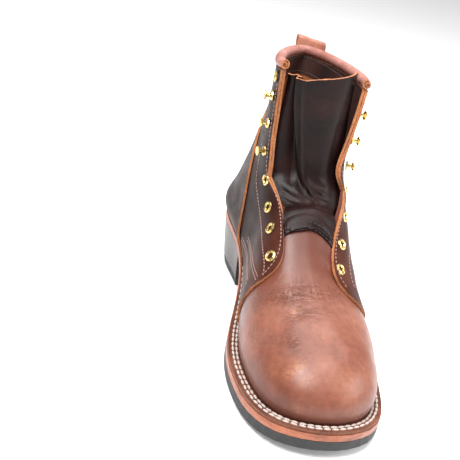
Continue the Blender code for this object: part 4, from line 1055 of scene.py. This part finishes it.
def tongueSeam():
    # the strip of tongue leather that is sewn over the top of the vamp
    arc = curvedThrough(np.array(seamLook["arc"]) / 1000, seamLook["points"])
    front = surfaceOf(layers["tongue"])
    body = surfaceOf(upper)
    columns, rows = len(arc), seamLook["rows"]
    grid = np.empty((rows, columns, 3))
    way, slope, search = Vector(seamLook["out"]), Vector(seamLook["slope"]), seamLook["search"]
    for r in range(rows):
        back = seamLook["width"] * r / (rows - 1)
        for c, point in enumerate(arc):
            wave = seamLook["scallop"] * abs(math.sin(math.pi * seamLook["scallops"] * c / (columns - 1)))
            low = (1 - r / (rows - 1)) * wave
            spot = Vector(point) + slope * (back - low)
            hits = []
            for skin in (front, body):
                hit, _, _, _ = skin.ray_cast(spot + way * search, -way, 2 * search)
                if hit is not None:
                    hits.append(hit)
            grid[r, c] = max(hits, key=lambda hit: hit.dot(way)) if hits else spot
    for _ in range(6):
        column = grid[1:-1, 1:-1] * 2 + grid[:-2, 1:-1] + grid[2:, 1:-1]
        grid[1:-1, 1:-1] = (column + grid[1:-1, :-2] + grid[1:-1, 2:]) / 6
        grid[0, 1:-1] = (grid[0, :-2] + grid[0, 1:-1] * 2 + grid[0, 2:]) / 4
    rise = np.full((rows, columns, 1), seamLook["rise"])
    rise[-3:] = np.array(seamLook["lastRises"])[:, None, None]
    grid += np.array(way) * rise
    faces = [(r * columns + c, r * columns + c + 1, (r + 1) * columns + c + 1, (r + 1) * columns + c)
             for r in range(rows - 1) for c in range(columns - 1)]
    piece = pieceFrom("tongueSeam", grid.reshape(-1, 3).tolist(), faces)
    if piece.data.polygons[columns].normal.dot(way) < 0:
        piece.data.flip_normals()
    wall = piece.modifiers.new("wall", "SOLIDIFY")
    wall.thickness = seamLook["thick"]
    wall.offset = -1
    bpy.ops.object.modifier_apply(modifier="wall")
    bpy.ops.object.shade_smooth_by_angle(angle=math.radians(45))
    piece.data.materials.append(leathers["tongue"])
    finish(piece, "tongue_leather")
    return piece, grid


seamStrip, seamGrid = tongueSeam()
seamSkin = surfaceOf(seamStrip)
stitchRow("tongueStitches", [seamGrid[1] * 0.5 + seamGrid[0] * 0.5, seamGrid[3]], seamSkin, seamSkin,
          stitchLook["tongue"], threadDark, "tongue_leather")

print("roll ends")
rollEndLook = {"turns": 1.4, "outer": 0.0037, "inner": 0.0010, "band": 0.0011, "reach": 0.0013,
               "sunk": -0.001, "steps": 60}


def rollEnds():
    # the cut ends of the rolled collar show the leather wound up
    roll = layers["collar_roll"]
    half, steps = rollEndLook["band"] / 2, rollEndLook["steps"]
    reach, sunk = rollEndLook["reach"], rollEndLook["sunk"]
    ends = []
    for skin in skins(roll)[1:3]:
        middle = np.mean([roll.data.polygons[i].center[:] for i in skin["faces"]], axis=0)
        ends.append((Vector(middle), Vector(skin["normal"]).normalized()))
    for number, (middle, way) in enumerate(ends):
        side = -1 if middle.x < 0 else 1
        points = []
        for k in range(steps + 1):
            t = k / steps
            radius = rollEndLook["outer"] + (rollEndLook["inner"] - rollEndLook["outer"]) * t
            angle = math.pi * (0.5 + 2 * rollEndLook["turns"] * t)
            points.append((radius * math.cos(angle), radius * math.sin(angle)))
        across = Vector((0, 0, 1)).cross(way).normalized()
        up = way.cross(across).normalized()
        vertices, faces = [], []
        for k, (x, y) in enumerate(points):
            a = np.array(points[min(k + 1, steps)]) - np.array(points[max(k - 1, 0)])
            a /= np.linalg.norm(a)
            normal = np.array((-a[1], a[0]))
            for shift, depth in ((half, sunk), (half, reach), (-half, reach), (-half, sunk)):
                u, v = np.array((x, y)) + normal * shift
                vertices.append(middle + across * float(u) * side + up * float(v) + way * depth)
            if k:
                base = 4 * (k - 1)
                for j in range(4):
                    faces.append((base + j, base + (j + 1) % 4, base + 4 + (j + 1) % 4, base + 4 + j))
        faces.append((0, 1, 2, 3))
        faces.append(tuple(4 * steps + j for j in (3, 2, 1, 0)))
        piece = pieceFrom("collarRollEnd_" + str(number + 1), [tuple(v) for v in vertices], faces)
        bpy.ops.object.shade_smooth_by_angle(angle=math.radians(40))
        piece.data.materials.append(edgeTan)
        finish(piece, "collar_leather")


rollEnds()

print("lining stitches")
insideSkin = surfaceOf(upper, {1})
liningLook = {"heights": (0.2005, 0.1875), "degrees": (-20, 201, 3), "middle": (-0.003, 0.078), "reach": 0.09}


def liningRow(height):
    row = []
    for degrees in range(*liningLook["degrees"]):
        a = math.radians(degrees)
        way = Vector((math.cos(a), math.sin(a), 0))
        hit, _, _, _ = insideSkin.ray_cast(Vector((*liningLook["middle"], height)), way, liningLook["reach"])
        if hit is not None:
            row.append(hit[:])
    return np.array(row)


stitchRow("liningStitches", [liningRow(height) for height in liningLook["heights"]], insideSkin, insideSkin,
          stitchLook["lining"], threadLining, "vamp_leather")

print("stage")
cameraLook = {
    "right": (0.97262, -0.14564, 0.18110), "up": (-0.09446, 0.46421, 0.88067),
    "back": (-0.21233, -0.87367, 0.43774), "place": (-0.2025, -0.5827, 0.3815), "lens": 66.7,
}
bpy.ops.object.camera_add()
camera = bpy.context.object
camera.name = "photoCamera"
turn = Matrix((cameraLook["right"], cameraLook["up"], cameraLook["back"])).transposed().to_4x4()
turn.translation = Vector(cameraLook["place"])
camera.matrix_world = turn
camera.data.lens = cameraLook["lens"]
camera.data.sensor_width = 36
camera.data.clip_start = 0.01
bpy.context.scene.camera = camera

deselectAll()
bpy.ops.mesh.primitive_plane_add(size=30, location=(0, 0, -0.0004))
floor = bpy.context.object
floor.name = "floor"
floorPaint, _, floorShader, _ = newMaterial("paleFloor")
setInputs(floorShader, {"Base Color": (0.93, 0.93, 0.935, 1), "Roughness": 0.65,
                        "Emission Color": (1, 1, 1, 1), "Emission Strength": 0.22})
floor.data.materials.append(floorPaint)

world = bpy.data.worlds.new("studio")
bpy.context.scene.world = world
world.use_nodes = True
setInputs(world.node_tree.nodes["Background"], {"Color": (1, 1, 1, 1), "Strength": 0.36})
lampLooks = [
    dict(name="keySoftbox", place=(-0.42, -0.42, 1.3), aim=(0, -0.06, 0.06), size=0.7, power=23),
    dict(name="topSoftbox", place=(0.1, 0.25, 1.3), aim=(0, 0, 0.08), size=1.0, power=15),
    dict(name="sideSoftbox", place=(1.1, -0.35, 0.75), aim=(0, 0, 0.1), size=0.7, power=8),
]
for look in lampLooks:
    bpy.ops.object.light_add(type="AREA", location=look["place"])
    lamp = bpy.context.object
    lamp.name = look["name"]
    lamp.data.size = look["size"]
    lamp.data.energy = look["power"]
    lamp.rotation_euler = (Vector(look["aim"]) - Vector(look["place"])).to_track_quat("-Z", "Y").to_euler()
bpy.context.scene.view_settings.view_transform = "Standard"
